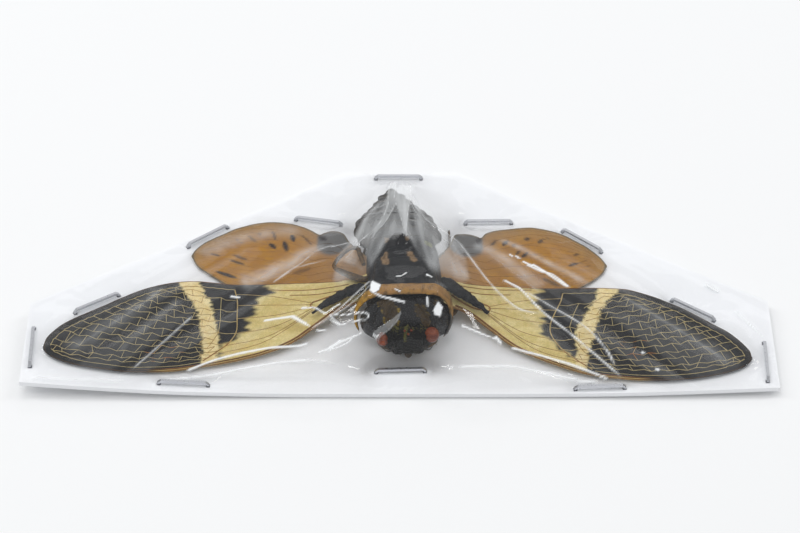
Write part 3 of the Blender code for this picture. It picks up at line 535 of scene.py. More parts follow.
def forewingMaterial():
    mat, shader = newMaterial("forewing membrane", Roughness=0.42, Specular_IOR_Level=0.3)
    grain = noiseTexture(mat, 0.9, 5, 0.6)
    streak = noiseTexture(mat, 0.35, 5, 0.6, stretch=(0.35, 1.6, 1))
    fine = noiseTexture(mat, 5.0, 3, 0.6)
    basal = mixColour(mat, spread(mat, streak, 0.35, 0.65), (0.73, 0.57, 0.22), (0.90, 0.78, 0.40))
    basal = mixColour(mat, spread(mat, grain, 0.45, 0.75), basal, (0.66, 0.55, 0.19))
    cream = mixColour(mat, spread(mat, grain, 0.35, 0.65), (0.95, 0.83, 0.49), (0.85, 0.68, 0.32))
    black = mixColour(mat, spread(mat, grain, 0.4, 0.7), (0.016, 0.017, 0.021), (0.035, 0.035, 0.037))
    # lighter grey along the rear margin of the black zone: a painted reflection of the film
    rim = spread(mat, field(mat, "fromRear"), 1.25, 0.2)
    black = mixColour(mat, compute(mat, "MULTIPLY", rim, 0.75), black, (0.075, 0.072, 0.07))
    colour = mixColour(mat, field(mat, "cream"), basal, cream)
    colour = mixColour(mat, field(mat, "dark"), colour, black)
    edge = spread(mat, field(mat, "fromFront"), 0.55, 0.35)
    leading = compute(mat, "MULTIPLY", edge, spread(mat, field(mat, "reach"), 46.0, 43.0))
    colour = mixColour(mat, leading, colour, (0.62, 0.45, 0.16))
    colour = mixColour(mat, spread(mat, fine, 0.35, 0.7, 0.0, 0.25), colour, (0.02, 0.016, 0.01), "MULTIPLY")
    plug(mat, colour, shader.inputs["Base Color"])
    addBump(mat, shader, fine, 0.25, 0.08)
    return mat


def veinMaterial(name, colourOut, colourIn):
    mat, shader = newMaterial(name, Roughness=0.45, Specular_IOR_Level=0.4)
    grain = noiseTexture(mat, 1.3, 3, 0.5)
    light = mixColour(mat, spread(mat, grain, 0.4, 0.65), colourOut, tuple(c * 0.7 for c in colourOut))
    brown = mixColour(mat, spread(mat, grain, 0.4, 0.65), colourIn, tuple(c * 0.6 for c in colourIn))
    colour = mixColour(mat, field(mat, "pale"), brown, light)
    colour = mixColour(mat, field(mat, "orange"), colour, (0.55, 0.20, 0.02))
    plug(mat, colour, shader.inputs["Base Color"])
    return mat


wingSkin = forewingMaterial()
netVeins = veinMaterial("forewing veins", (0.70, 0.57, 0.28), (0.46, 0.27, 0.09))
plainVeins = veinMaterial("basal veins", (0.62, 0.46, 0.20), (0.40, 0.21, 0.07))
frontVeins = veinMaterial("margin veins", (0.09, 0.05, 0.025), (0.27, 0.12, 0.04))

for label, wing in forewings.items():
    bm = wingGrid(wing, forewingBuild)[0]
    onWing = veinTree(bm)
    thin, strong, costal = forewingVeins(wing, forewingBuild, onWing)
    thicken(bm, forewingBuild["thickness"])
    fields = forewingFields(getPoints(bm), wing)
    piece = "forewing_" + label
    finishPiece(piece + "_membrane", bm, wingSkin, [piece], fields, covered=True)
    for part, splines, material, sides in (("net", thin, netVeins, 1), ("basal_veins", strong, plainVeins, 2),
                                           ("margin_veins", costal, frontVeins, 2)):
        veins = tubes(splines, sides)
        points = getPoints(veins)
        zones = forewingFields(points, wing)
        near = np.hypot((points[:, 0] - wing["orange"][0]) / 3.6, (points[:, 1] - wing["orange"][1]) / 2.4)
        spotty = step(flatWobble(points, 0.8, 1.7), 0.05, 0.2)
        fields = {"pale": zones["dark"] if part != "margin_veins" else step(np.abs(points[:, 0]), 40, 48),
                  "orange": step(near, 1.15, 0.8) * spotty * (part == "net")}
        finishPiece(piece + "_" + part, veins, material, (), fields, covered=part != "net")
print("forewings done")


# hind wings

# spots: from x, y to x, y, half width, darkness
hindwings = {
    "left": {
        "side": -1,
        "front": [(-5.9, -3.0), (-10.5, -4.6), (-15.0, -5.8), (-22.0, -5.9), (-28.5, -4.3), (-32.5, -2.3),
                  (-35.0, -0.5), (-36.6, 0.7), (-38.0, 1.9), (-38.8, 3.1), (-39.2, 4.2)],
        "rear": [(-5.9, 2.4), (-9.4, 7.0), (-10.6, 9.4), (-11.8, 10.4), (-13.2, 10.8), (-14.6, 10.4),
                 (-15.4, 10.1), (-16.8, 11.2), (-18.7, 12.4), (-21.1, 13.3), (-23.7, 13.7),
                 (-25.6, 13.7), (-27.6, 13.4), (-29.5, 12.8), (-31.8, 11.8), (-33.7, 10.5),
                 (-35.6, 9.3), (-37.1, 8.2), (-38.3, 7.0), (-39.0, 6.0), (-39.3, 5.2)],
        "spots": [(-20.7, 10.2, -20.2, 8.8, 0.5, 1.0), (-22.1, 8.7, -21.5, 6.4, 0.5, 1.0),
                  (-24.7, 8.1, -23.8, 7.1, 0.48, 1.0), (-24.3, 11.2, -23.8, 9.2, 0.33, 0.7),
                  (-27.0, 10.7, -26.6, 10.4, 0.4, 0.5), (-28.9, 10.1, -27.4, 8.6, 0.3, 0.65),
                  (-31.5, 9.5, -30.1, 8.1, 0.16, 0.5), (-18.7, 10.2, -16.9, 7.7, 0.24, 0.6),
                  (-35.8, 5.3, -34.2, 4.8, 0.26, 0.75), (-31.5, 5.2, -29.1, 4.1, 0.28, 0.8),
                  (-32.0, 3.8, -29.5, 2.9, 0.3, 0.95), (-34.5, 0.9, -31.0, -0.4, 0.42, 1.0),
                  (-20.0, 0.6, -17.0, 1.6, 0.5, 0.45)],
        "lobe": (-12.6, 8.2), "lobeSpot": (-15.2, 9.4, -14.2, 8.6, 0.55, 1.0),
    },
    "right": {
        "side": 1,
        "front": [(7.0, -3.2), (12.0, -5.0), (16.5, -6.2), (23.5, -6.3), (30.0, -4.9), (33.2, -3.2),
                  (35.6, -1.7), (37.2, -0.4), (38.3, 0.8), (38.8, 2.0)],
        "rear": [(7.0, 2.6), (9.4, 6.6), (10.4, 9.2), (11.7, 9.8), (13.4, 9.9), (14.8, 9.5),
                 (15.5, 9.3), (16.4, 10.5), (18.0, 11.3), (20.3, 11.8), (22.7, 12.2), (25.1, 12.4),
                 (27.4, 12.0), (29.7, 11.3), (31.6, 10.3), (33.5, 8.9), (35.3, 7.5), (37.2, 5.6),
                 (38.3, 4.2), (38.9, 3.0)],
        "spots": [(17.3, 7.5, 18.4, 9.0, 0.3, 0.75), (19.6, 7.7, 20.5, 8.9, 0.42, 0.95),
                  (21.4, 7.5, 22.0, 8.1, 0.34, 0.6), (23.9, 9.3, 24.7, 9.6, 0.5, 0.85),
                  (26.4, 8.4, 27.3, 9.4, 0.36, 0.9), (27.3, 9.4, 28.6, 9.6, 0.15, 0.5),
                  (22.1, 5.4, 22.7, 6.4, 0.3, 0.85), (23.2, 4.8, 24.2, 5.9, 0.38, 1.0),
                  (25.5, 5.4, 25.9, 5.5, 0.3, 0.4), (26.0, 4.2, 27.2, 4.8, 0.15, 0.4),
                  (32.9, 5.3, 34.0, 5.6, 0.26, 0.7), (32.0, 2.7, 33.6, 3.3, 0.34, 0.9),
                  (33.6, 3.3, 35.4, 4.0, 0.14, 0.5), (35.2, 2.4, 36.1, 2.7, 0.15, 0.5),
                  (27.0, -0.6, 29.8, -2.4, 0.5, 0.6)],
        "lobe": (12.6, 7.6), "lobeSpot": (15.1, 8.9, 14.8, 7.9, 0.5, 0.9),
    },
}
hindwingBuild = {
    "columns": 110, "rows": 60, "thickness": 0.08,
    "tipLevel": 1.6, "rootRise": 2.6, "rootFall": 7.0, "rearRise": 0.0, "rearFall": 30.0, "start": 7.0,
    "border": 0.75, "veinRadius": 0.042, "tipBulge": 0.25,
    "rays": (0.10, 0.24, 0.38, 0.52, 0.66, 0.80, 0.92),
}


def hindwingFields(points, wing):
    spots = np.zeros(len(points))
    jag = 0.12 * flatWobble(points, 1.6, 4.0)
    for x1, y1, x2, y2, width, strength in wing["spots"] + [wing["lobeSpot"]]:
        away, share = lineDistance(points, [(x1, y1), (x2, y2)])
        taper = width * (1.1 - 0.6 * (2 * share - 1) ** 2)
        spots = np.maximum(spots, strength * step(away + jag, taper * 1.35, taper * 0.45))
    outline = np.vstack([smoothLine(wing["front"], 90), smoothLine(wing["rear"], 90)[::-1]])
    rim = lineDistance(points, outline)[0]
    x = np.abs(points[:, 0])
    lobe = step(np.hypot(x - abs(wing["lobe"][0]), points[:, 1] - wing["lobe"][1]) + jag, 4.2, 3.0)
    lobe *= step(x, 16.1, 15.5)
    rear = step(lineDistance(points, smoothLine(wing["rear"], 60))[0], 4.5, 0.5)
    basal = step(x, 22.0, 12.0)
    return {"spots": spots, "rim": step(rim, 0.45, 0.05), "lobe": lobe, "rearHaze": rear, "basal": basal}


def hindwingVeins(wing, build, front, rear, onWing):
    side = wing["side"]
    seeds = random.Random(5 if side < 0 else 6)
    splines = []
    last = len(front) - 1

    def lay(points, radius):
        placed = [(p[0], p[1], onWing(p[0], p[1])) for p in points]
        placed = [p for p in placed if p[2] is not None]
        if len(placed) > 1:
            splines.append((placed, [radius * (1 - 0.4 * k / len(placed)) for k in range(len(placed))]))

    def at(a, b):
        k = min(last, max(0, a * last))
        i = int(min(last - 1, k))
        f = k - i
        return (rear[i] * (1 - f) + rear[i + 1] * f) * (1 - b) + (front[i] * (1 - f) + front[i + 1] * f) * b

    for b in build["rays"]:
        startB = 0.5 + (b - 0.5) * 0.55
        split = seeds.uniform(0.45, 0.6)
        trunk = [at(a, startB + (b - startB) * step(a, 0.0, 0.55)) for a in np.linspace(0.08, split, 16)]
        lay(trunk, build["veinRadius"] * 1.5)
        for way in (-1, 1):
            reach = np.linspace(split, seeds.uniform(0.90, 0.94), 18)
            fork = [at(a, b + way * 0.034 * step(a, split, split + 0.16)) for a in reach]
            lay(fork, build["veinRadius"])
    for a in (0.56, 0.72):
        for b0, b1 in zip(build["rays"], build["rays"][1:]):
            shift = seeds.uniform(-0.03, 0.03)
            lay([at(a + shift, b0 + 0.034), at(a + shift * 0.5, b1 - 0.034)], build["veinRadius"])
    outline = np.vstack([front, rear[::-1]])
    centre = outline.mean(0)
    inset = outline + (centre - outline) / np.linalg.norm(centre - outline, axis=1)[:, None] * build["border"]
    lay(list(inset[int(last * 0.3):int(last * 1.8)]), build["veinRadius"])
    return splines


def hindwingMaterial():
    mat, shader = newMaterial("hindwing membrane", Roughness=0.45, Specular_IOR_Level=0.3)
    grain = noiseTexture(mat, 0.45, 5, 0.6, distort=0.4)
    streak = noiseTexture(mat, 0.9, 4, 0.6, stretch=(0.4, 1.6, 1))
    fine = noiseTexture(mat, 5.0, 3, 0.6)
    colour = mixColour(mat, spread(mat, grain, 0.35, 0.68), (0.54, 0.27, 0.02), (0.45, 0.21, 0.03))
    colour = mixColour(mat, spread(mat, streak, 0.42, 0.7, 0, 0.7), colour, (0.37, 0.19, 0.06))
    colour = mixColour(mat, compute(mat, "MULTIPLY", field(mat, "rearHaze"), 0.6), colour, (0.38, 0.26, 0.13))
    colour = mixColour(mat, compute(mat, "MULTIPLY", field(mat, "basal"), 0.55), colour, (0.40, 0.235, 0.13))
    colour = mixColour(mat, field(mat, "lobe"), colour, (0.155, 0.155, 0.155))
    colour = mixColour(mat, field(mat, "rim"), colour, (0.17, 0.14, 0.09))
    colour = mixColour(mat, field(mat, "spots"), colour, (0.028, 0.02, 0.022))
    colour = mixColour(mat, spread(mat, fine, 0.35, 0.7, 0.0, 0.2), colour, (0.05, 0.03, 0.02), "MULTIPLY")
    plug(mat, colour, shader.inputs["Base Color"])
    addBump(mat, shader, fine, 0.25, 0.08)
    return mat


hindSkin = hindwingMaterial()
hindVeins = veinMaterial("hindwing veins", (0.12, 0.08, 0.05), (0.46, 0.24, 0.06))
for label, wing in hindwings.items():
    bm, front, rear = wingGrid(wing, hindwingBuild)
    onWing = veinTree(bm)
    splines = hindwingVeins(wing, hindwingBuild, front, rear, onWing)
    thicken(bm, hindwingBuild["thickness"])
    fields = hindwingFields(getPoints(bm), wing)
    piece = "hindwing_" + label
    finishPiece(piece + "_membrane", bm, hindSkin, [piece], fields, covered=True)
    veins = tubes(splines, 1)
    fields = hindwingFields(getPoints(veins), wing)
    fields = {"pale": np.maximum(fields["spots"], fields["lobe"]), "orange": fields["spots"] * 0}
    finishPiece(piece + "_veins", veins, hindVeins, (), fields)
print("hind wings done")


# trunk

trunkBuild = {"widest": 5.6, "roundness": 0.8}  # height where the trunk is widest, 1 for a round section


def bodyShell(build):
    # a closed shell through stations of (y, half width, underside, top)
    line = smoothLine(build["stations"], 240)
    bm = bmesh.new()
    bmesh.ops.create_uvsphere(bm, u_segments=build["around"], v_segments=build["along"], radius=1)
    p = getPoints(bm)
    share = np.clip(0.5 - 0.5 * p[:, 2], 0, 1)
    angle = np.arctan2(p[:, 1], p[:, 0])
    y = line[0, 0] + (line[-1, 0] - line[0, 0]) * share
    half, under, top = (np.interp(y, line[:, 0], line[:, k]) for k in (1, 2, 3))
    blunt, roundness = build["blunt"], trunkBuild["roundness"]
    end = np.maximum(0, 1 - np.abs(2 * share - 1) ** blunt) ** (1 / blunt)
    level = np.minimum(np.maximum(trunkBuild["widest"], under + 0.4), under + 0.5 * (top - under))
    across = np.sign(np.cos(angle)) * np.abs(np.cos(angle)) ** roundness
    up = np.sign(np.sin(angle)) * np.abs(np.sin(angle)) ** roundness
    z = level + np.where(up > 0, top - level, level - under) * up * end
    setPoints(bm, np.stack([half * across * end, y, z], 1))
    bmesh.ops.recalc_face_normals(bm, faces=bm.faces)
    return bm


def sculpt(bm, amount):
    # amount(points, normals) in mm along the normals
    p, n = getPoints(bm), getNormals(bm)
    setPoints(bm, p + n * amount(p, n)[:, None])


def groove(p, line, width, depth):
    return -depth * np.exp(-(lineDistance(p, line)[0] / width) ** 2)


def bothSides(line):
    return [line, [(-x, *rest) for x, *rest in line]]


def shellMaterial(name, base, tint, marks=None, rough=0.22, scale=1.4, gloss=0.35, pits=0.3):
    mat, shader = newMaterial(name, Roughness=rough, Specular_IOR_Level=gloss)
    grain = noiseTexture(mat, scale, 6, 0.62)
    broad = noiseTexture(mat, 0.3, 3, 0.5)
    colour = mixColour(mat, spread(mat, grain, 0.42, 0.7), base, tint)
    colour = mixColour(mat, spread(mat, broad, 0.5, 0.75, 0, 0.6), colour, tuple(c * 1.5 for c in tint))
    for key, shade in (marks or {}).items():
        blotchy = mixColour(mat, spread(mat, grain, 0.38, 0.6), shade, tuple(c * 0.55 for c in shade))
        colour = mixColour(mat, field(mat, key), colour, blotchy)
    plug(mat, colour, shader.inputs["Base Color"])
    plug(mat, spread(mat, grain, 0.3, 0.7, rough, rough + 0.2), shader.inputs["Roughness"])
    addBump(mat, shader, noiseTexture(mat, 6.0, 4, 0.6), pits, 0.1)
    return mat


# abdomen: eight rings, each tucked under the one before
abdomenBuild = {
    "stations": [(3.6, 6.7, 2.9, 9.3), (5.0, 7.2, 2.8, 9.3), (6.6, 8.2, 2.7, 9.1), (8.0, 8.5, 2.6, 8.9),
                 (10.0, 8.0, 2.6, 8.4), (12.3, 6.7, 2.7, 7.5), (14.4, 5.3, 2.8, 6.6), (16.6, 3.8, 3.1, 5.7),
                 (18.5, 2.3, 3.3, 5.0), (20.6, 0.6, 3.6, 4.4)],
    "around": 120, "along": 130, "blunt": 7, "ringStart": 4.2, "ringLength": 1.95,
    "flare": 0.16, "seam": 0.34, "lip": 0.2, "keel": 0.12, "drawnIn": 0.2, "bend": 0.0042,
}
abdomen = bodyShell(abdomenBuild)


def ringShare(p):
    # how far along its own ring each point lies, 0 to 1
    ring = (p[:, 1] - abdomenBuild["ringStart"]) / abdomenBuild["ringLength"]
    return ring - np.floor(ring)


def abdomenForm(p, n):
    part = ringShare(p)
    seam = abdomenBuild["seam"] * np.exp(-(part / 0.07) ** 2)
    lip = abdomenBuild["lip"] * np.exp(-((1 - part) / 0.03) ** 2)
    saw = abdomenBuild["flare"] * part - seam - lip
    keel = abdomenBuild["keel"] * np.exp(-(p[:, 0] / 0.5) ** 2) * (p[:, 2] > 5)
    tip = step(p[:, 1], 20.2, 18.5)
    return (saw + keel) * tip + 0.05 * wobble(p, 0.9) + 0.02 * wobble(p, 3.0, 4)


sculpt(abdomen, abdomenForm)
local = getPoints(abdomen)
fields = {"edge": step(ringShare(local), 0.8, 0.97) * 0.7, "flank": step(np.abs(local[:, 0]), 3.5, 6.5)}
# drawn in on the right by the film, and bent a little to the left
narrow = abdomenBuild["drawnIn"] * step(local[:, 1], 4.5, 9.0)
local[:, 0] *= np.where(local[:, 0] > 0, 1 - narrow, 1.0)
local[:, 0] -= abdomenBuild["bend"] * np.maximum(0, local[:, 1] - 4) ** 2
setPoints(abdomen, inBody(local))
marks = {"edge": (0.12, 0.095, 0.06), "flank": (0.060, 0.052, 0.044)}
abdomenSkin = shellMaterial("abdomen", (0.026, 0.027, 0.029), (0.055, 0.056, 0.056), marks, 0.42, 1.1)
finishPiece("abdomen_rings", abdomen, abdomenSkin, ["abdomen"], fields, covered=True)

# mesonotum with its furrows, the raised cross behind it and the tan marks
thoraxBuild = {
    "stations": [(-12.6, 6.6, 3.1, 11.0), (-11.6, 6.9, 3.0, 11.6), (-10.2, 7.1, 3.0, 12.0),
                 (-8.4, 7.2, 3.0, 12.2), (-6.4, 7.1, 3.0, 12.1), (-4.4, 7.0, 3.0, 11.6),
                 (-2.4, 6.9, 3.0, 10.9), (-0.4, 6.8, 3.0, 10.2), (1.8, 6.7, 3.0, 9.7), (4.2, 6.7, 3.0, 9.4)],
    "around": 150, "along": 150, "blunt": 8,
    # furrows: line, width, depth
    "furrows": [([(0.9, -12.4), (1.2, -9.5), (2.1, -6.6), (3.5, -4.6)], 0.22, 0.22),
                ([(3.8, -11.9), (3.6, -8.5), (4.9, -5.2)], 0.28, 0.26)],
    "cross": [[(0.0, 0.2), (1.6, 1.4), (3.4, 3.4)], [(0.0, 0.2), (1.5, -0.9), (3.3, -1.7)]],
    # tan marks: line, half width
    "tan": [([(-2.9, -2.3), (-2.6, -4.9)], 0.66), ([(1.8, -2.1), (2.6, -4.5)], 0.6),
            ([(-2.5, 2.2), (-2.3, 3.9)], 0.42), ([(1.2, 2.7), (1.5, 4.1)], 0.4)],
}
thorax = bodyShell(thoraxBuild)


def thoraxForm(p, n):
    top = step(n[:, 2], 0.1, 0.5)
    amount = 0.04 * wobble(p, 0.7) + 0.02 * wobble(p, 2.6, 3)
    for furrow, width, depth in thoraxBuild["furrows"]:
        for line in bothSides(furrow):
            amount += top * groove(p, line, width, depth)
    for line in bothSides([(6.6, -10.5), (5.9, -6.0), (5.6, -2.0)]):
        amount += groove(p, line, 0.4, 0.4)
    amount += top * groove(p, [(-6.5, -1.9), (-3.2, -3.0), (0, -2.4), (3.2, -3.0), (6.5, -1.9)], 0.4, 0.55)
    amount += top * groove(p, [(-6.3, 3.0), (-3.0, 2.9), (0, 2.0), (3.0, 2.9), (6.3, 3.0)], 0.35, 0.5)
    for arm in thoraxBuild["cross"]:
        for line in bothSides(arm):
            amount -= top * groove(p, line, 0.45, 0.7)
    amount -= top * groove(p, [(0, -0.9), (0, 1.6)], 0.9, 0.35)
    # the slopes beside the cross are creased and sunk
    sunk = step(np.abs(p[:, 0]), 2.2, 4.4) * step(p[:, 1], -3.4, -1.2) * top
    amount -= 0.7 * sunk
    amount += 0.16 * sunk * wobble(p, 1.3, 9)
    amount += 0.07 * top * wobble(p, 1.5, 12) * step(p[:, 1], -9.5, -6.0)
    for x in (-1, 1):
        lump = np.hypot((p[:, 0] - x * 4.9) / 1.7, (p[:, 1] + 7.6) / 2.8)
        amount += 0.25 * np.exp(-lump ** 2) * top
    return amount


sculpt(thorax, thoraxForm)
setPoints(thorax, inBody(getPoints(thorax)))
world = getPoints(thorax)
jag = 0.2 * flatWobble(world, 1.3, 2.0)
tan = np.zeros(len(world))
for line, width in thoraxBuild["tan"]:
    away = lineDistance(world, line)[0] + jag
    tan = np.maximum(tan, step(away, width * 1.15, width * 0.8) * (world[:, 2] > 7))
olive = step(np.hypot(world[:, 0] - 5.3, world[:, 1] - 3.4) + jag, 1.0, 0.6) * (world[:, 2] > 6)
marks = {"tan": (0.33, 0.215, 0.115), "olive": (0.24, 0.26, 0.07)}
thoraxSkin = shellMaterial("mesonotum", (0.009, 0.010, 0.013), (0.024, 0.025, 0.028), marks,
                           0.3, 1.4, 0.22, 0.35)
fields = {"tan": tan, "olive": olive}
finishPiece("mesonotum", thorax, thoraxSkin, ["mesothorax"], fields, covered=True)

# pronotum: oblique furrows, brown patches with yellow edges
pronotumBuild = {
    "stations": [(-17.8, 5.6, 4.0, 8.7), (-17.1, 6.9, 3.7, 9.4), (-16.1, 7.8, 3.5, 10.1),
                 (-15.0, 8.3, 3.3, 10.9), (-13.9, 8.5, 3.2, 11.6), (-12.5, 8.4, 3.3, 11.7)],
    "around": 150, "along": 100, "blunt": 5,
    "furrows": [[(1.0, -13.3), (2.6, -14.9), (4.0, -16.9)], [(3.6, -13.2), (5.6, -14.6), (6.4, -16.3)]],
    # brown patches: line, half width
    "patches": [([(-2.9, -13.9), (-1.8, -15.4), (-1.4, -17.0)], 1.25), ([(3.6, -15.4), (4.6, -16.6)], 0.85),
                ([(6.4, -13.9), (6.9, -15.2)], 0.4)],
}
pronotum = bodyShell(pronotumBuild)


def pronotumForm(p, n):
    top = step(n[:, 2], 0.0, 0.4)
    amount = 0.05 * wobble(p, 0.8) + 0.025 * wobble(p, 2.4, 6)
    amount += top * groove(p, [(0, -17.4), (0, -12.8)], 0.18, 0.3)
    for furrow in pronotumBuild["furrows"]:
        for line in bothSides(furrow):
            amount += top * groove(p, line, 0.26, 0.4)
    for line in bothSides([(0.9, -16.9), (1.2, -14.6)]):
        amount -= top * groove(p, line, 0.6, 0.18)
    # a raised disc in the middle, sunk and wrinkled towards the sides
    amount += 0.3 * top * np.exp(-((p[:, 0] / 2.2) ** 2 + ((p[:, 1] + 15.4) / 1.5) ** 2))
    amount += 0.09 * wobble(p, 1.5, 14) * step(np.abs(p[:, 0]), 2.5, 4.5)
    return amount


sculpt(pronotum, pronotumForm)
setPoints(pronotum, inBody(getPoints(pronotum)))
world = getPoints(pronotum)
jag = 0.3 * flatWobble(world, 1.1, 5.0) + 0.12 * flatWobble(world, 3.3, 1.0)
brown = np.zeros(len(world))
yellow = np.zeros(len(world))
for line, width in pronotumBuild["patches"]:
    away = lineDistance(world, line)[0] + jag
    brown = np.maximum(brown, step(away, width * 1.1, width * 0.85))
    yellow = np.maximum(yellow, np.exp(-((away - width) / 0.085) ** 2))
# thin golden edges, broken up and fainter on the right
broken = step(flatWobble(world, 1.5, 7.0), -0.12, 0.02) * (1 - 0.7 * step(world[:, 0], 0.5, 2.0))
marks = {"brown": (0.075, 0.045, 0.014), "yellow": (0.62, 0.42, 0.06)}
pronotumSkin = shellMaterial("pronotum", (0.007, 0.007, 0.009), (0.018, 0.018, 0.020), marks,
                             0.16, 1.4, 0.45, 0.15)
fields = {"brown": brown, "yellow": yellow * broken * 0.9}
finishPiece("pronotum_shield", pronotum, pronotumSkin, ["pronotum"], fields, covered=True)

# the golden collar: a flat band round the back and sides of the pronotum
collarBuild = {
    # its middle line: x, y, z, half width
    "path": [(-7.5, -15.7, 4.8, 0.7), (-7.9, -14.9, 5.5, 1.1), (-8.1, -13.8, 6.6, 1.25),
             (-7.7, -12.7, 8.0, 1.2), (-6.5, -12.1, 9.7, 1.25), (-5.0, -11.9, 10.9, 1.3),
             (-2.9, -11.85, 11.8, 1.35), (1.2, -12.0, 12.2, 1.35), (4.8, -12.0, 12.2, 1.35),
             (7.0, -11.9, 11.6, 1.45), (8.6, -12.2, 9.9, 1.7), (9.3, -13.1, 8.0, 1.9),
             (9.2, -14.5, 6.2, 1.8), (8.6, -15.9, 5.0, 1.3), (7.9, -16.9, 4.4, 0.6)],
    "columns": 160, "rows": 28, "halfThickness": 0.34, "flatness": 0.55,
    "heart": (1.0, 0.6, 6.0),  # what the band faces away from: x, how far behind it, z
}
columns = collarBuild["columns"]
centre = smoothLine(collarBuild["path"], columns + 1)
centre, halfWide = centre[:, :3], centre[:, 3]
bm = bmesh.new()
bmesh.ops.create_grid(bm, x_segments=columns, y_segments=collarBuild["rows"], size=0.5)
p = getPoints(bm)
k = np.rint((p[:, 0] + 0.5) * columns).astype(int)
angle = (p[:, 1] + 0.5) * 2 * math.pi
along = np.gradient(centre, axis=0)
along /= np.linalg.norm(along, axis=1)[:, None]
heartX, heartBehind, heartZ = collarBuild["heart"]
level = 0 * centre[:, 0]
outward = centre - np.stack([level + heartX, centre[:, 1] - heartBehind, level + heartZ], 1)
outward -= along * (outward * along).sum(1)[:, None]
outward /= np.linalg.norm(outward, axis=1)[:, None]
width = np.cross(along, outward)
close = np.maximum(0.02, 1 - np.abs(2 * (k / columns) - 1) ** 9) ** 0.5
halfWide = halfWide[k] * close
thick = collarBuild["halfThickness"] * close
square = np.sign(np.cos(angle)) * np.abs(np.cos(angle)) ** collarBuild["flatness"]
p = centre[k] + width[k] * (halfWide * square)[:, None] + outward[k] * (thick * np.sin(angle))[:, None]
setPoints(bm, p)
bmesh.ops.remove_doubles(bm, verts=bm.verts, dist=0.004)
bmesh.ops.recalc_face_normals(bm, faces=bm.faces)
sculpt(bm, lambda p, n: 0.07 * wobble(p, 0.8) + 0.05 * wobble(p, 2.2, 3) + 0.02 * wobble(p, 5.0, 6))
world = getPoints(bm)
gold = step(world[:, 0], -3.5, -6.5)
stain = np.maximum(step(wobble(world, 0.9, 21), 0.15, 0.45), 0.9 * step(wobble(world, 3.2, 4), 0.28, 0.4))
greyLobe = step(np.hypot((world[:, 0] - 8.7) / 1.3, (world[:, 1] + 15.9) / 1.5), 1.0, 0.7)
marks = {"gold": (0.62, 0.33, 0.015), "stain": (0.14, 0.085, 0.035), "greyLobe": (0.13, 0.125, 0.115)}
collarSkin = shellMaterial("collar", (0.40, 0.225, 0.065), (0.26, 0.135, 0.045), marks, 0.34, 0.9, 0.35, 0.3)
fields = {"gold": gold * 0.9, "stain": stain * 0.65, "greyLobe": greyLobe}
finishPiece("collar_band", bm, collarSkin, ["pronotum_collar"], fields, covered=True)

# head: wide between the eyes, with the ribbed bulge of the face in front
headBuild = {
    "stations": [(-20.8, 1.5, 3.4, 5.5), (-20.3, 2.2, 3.1, 6.6), (-19.8, 3.2, 2.9, 7.7),
                 (-19.2, 4.1, 3.0, 8.5), (-18.4, 4.6, 3.3, 8.9), (-17.4, 4.8, 4.0, 9.0),
                 (-16.9, 4.7, 4.2, 9.0)],
    "around": 150, "along": 130, "blunt": 3.0,
    "faceRibs": 0.16, "face": 0.5, "ledge": 0.35, "socket": 0.6,
    "greenMarks": [[(0.9, -19.6), (1.2, -17.3)], [(4.3, -17.2), (5.0, -18.3)],
                   [(-1.3, -17.6), (-0.6, -18.3)]],
}
head = bodyShell(headBuild)


def headForm(p, n):
    amount = 0.14 * wobble(p, 0.9) + 0.17 * wobble(p, 2.2, 3) + 0.10 * wobble(p, 4.2, 8)
    face = np.exp(-((p[:, 0] / 1.6) ** 2 + ((p[:, 1] + 20.8) / 1.4) ** 2))
    amount += headBuild["face"] * face + headBuild["faceRibs"] * face * np.sin((p[:, 2] + p[:, 1]) * 7.5)
    amount += groove(p, [(0, -19.6), (0, -17.0)], 0.2, 0.35)
    for line in bothSides([(2.0, -20.6), (2.5, -19.2), (2.2, -17.4)]):
        amount += groove(p, line, 0.4, 0.6)
    # the ledge between the crown and the face
    amount += headBuild["ledge"] * step(p[:, 1], -19.4, -19.1) * (p[:, 2] > 6.5)
    for x in (-1, 1):
        lump = np.hypot(p[:, 0] - x * 2.5, p[:, 1] + 19.9)
        amount += 0.4 * np.exp(-(lump / 0.7) ** 2)
        socket = np.linalg.norm(p - np.array([x * 4.4, -18.9, 6.9]), axis=1)
        amount -= headBuild["socket"] * np.exp(-(socket / 1.5) ** 4)
    return amount


sculpt(head, headForm)
setPoints(head, inBody(getPoints(head)))
world = getPoints(head)
jag = 0.25 * flatWobble(world, 1.4, 5.0)
green = np.zeros(len(world))
for line in headBuild["greenMarks"]:
    green = np.maximum(green, step(lineDistance(world, line)[0] + jag, 0.4, 0.15) * (world[:, 2] > 6.5))
marks = {"green": (0.17, 0.16, 0.035)}
headSkin = shellMaterial("head", (0.003, 0.003, 0.0035), (0.010, 0.010, 0.009), marks, 0.4, 2.4, 0.15, 0.9)
headTree = BVHTree.FromBMesh(head)
finishPiece("head_capsule", head, headSkin, ["head"], {"green": green}, covered=True)

# the three small simple eyes on top, red glass beads, and the two large eyes at the sides
eyes = {
    "simple": {"places": [(0.0, -19.55), (-0.6, -18.75), (0.6, -18.75)], "radius": 0.24, "raised": 0.03},
    "eye_left": {"place": (-4.6, -18.95, 6.6), "radius": 1.25},
    "eye_right": {"place": (4.3, -18.8, 7.1), "radius": 1.42},
}
bm = bmesh.new()
for x, y in eyes["simple"]["places"]:
    place = inBody([(x, y, 8.0)])[0]
    hit = headTree.ray_cast(Vector((place[0], place[1], 30)), Vector((0, 0, -1)))[0]
    made = bmesh.ops.create_uvsphere(bm, u_segments=16, v_segments=10, radius=eyes["simple"]["radius"])
    bmesh.ops.translate(bm, verts=made["verts"], vec=(place[0], place[1], hit.z + eyes["simple"]["raised"]))
eyeSkin, shader = newMaterial("eyes", Roughness=0.2, Coat_Weight=0.3, Coat_Roughness=0.06,
                              Specular_IOR_Level=0.35)
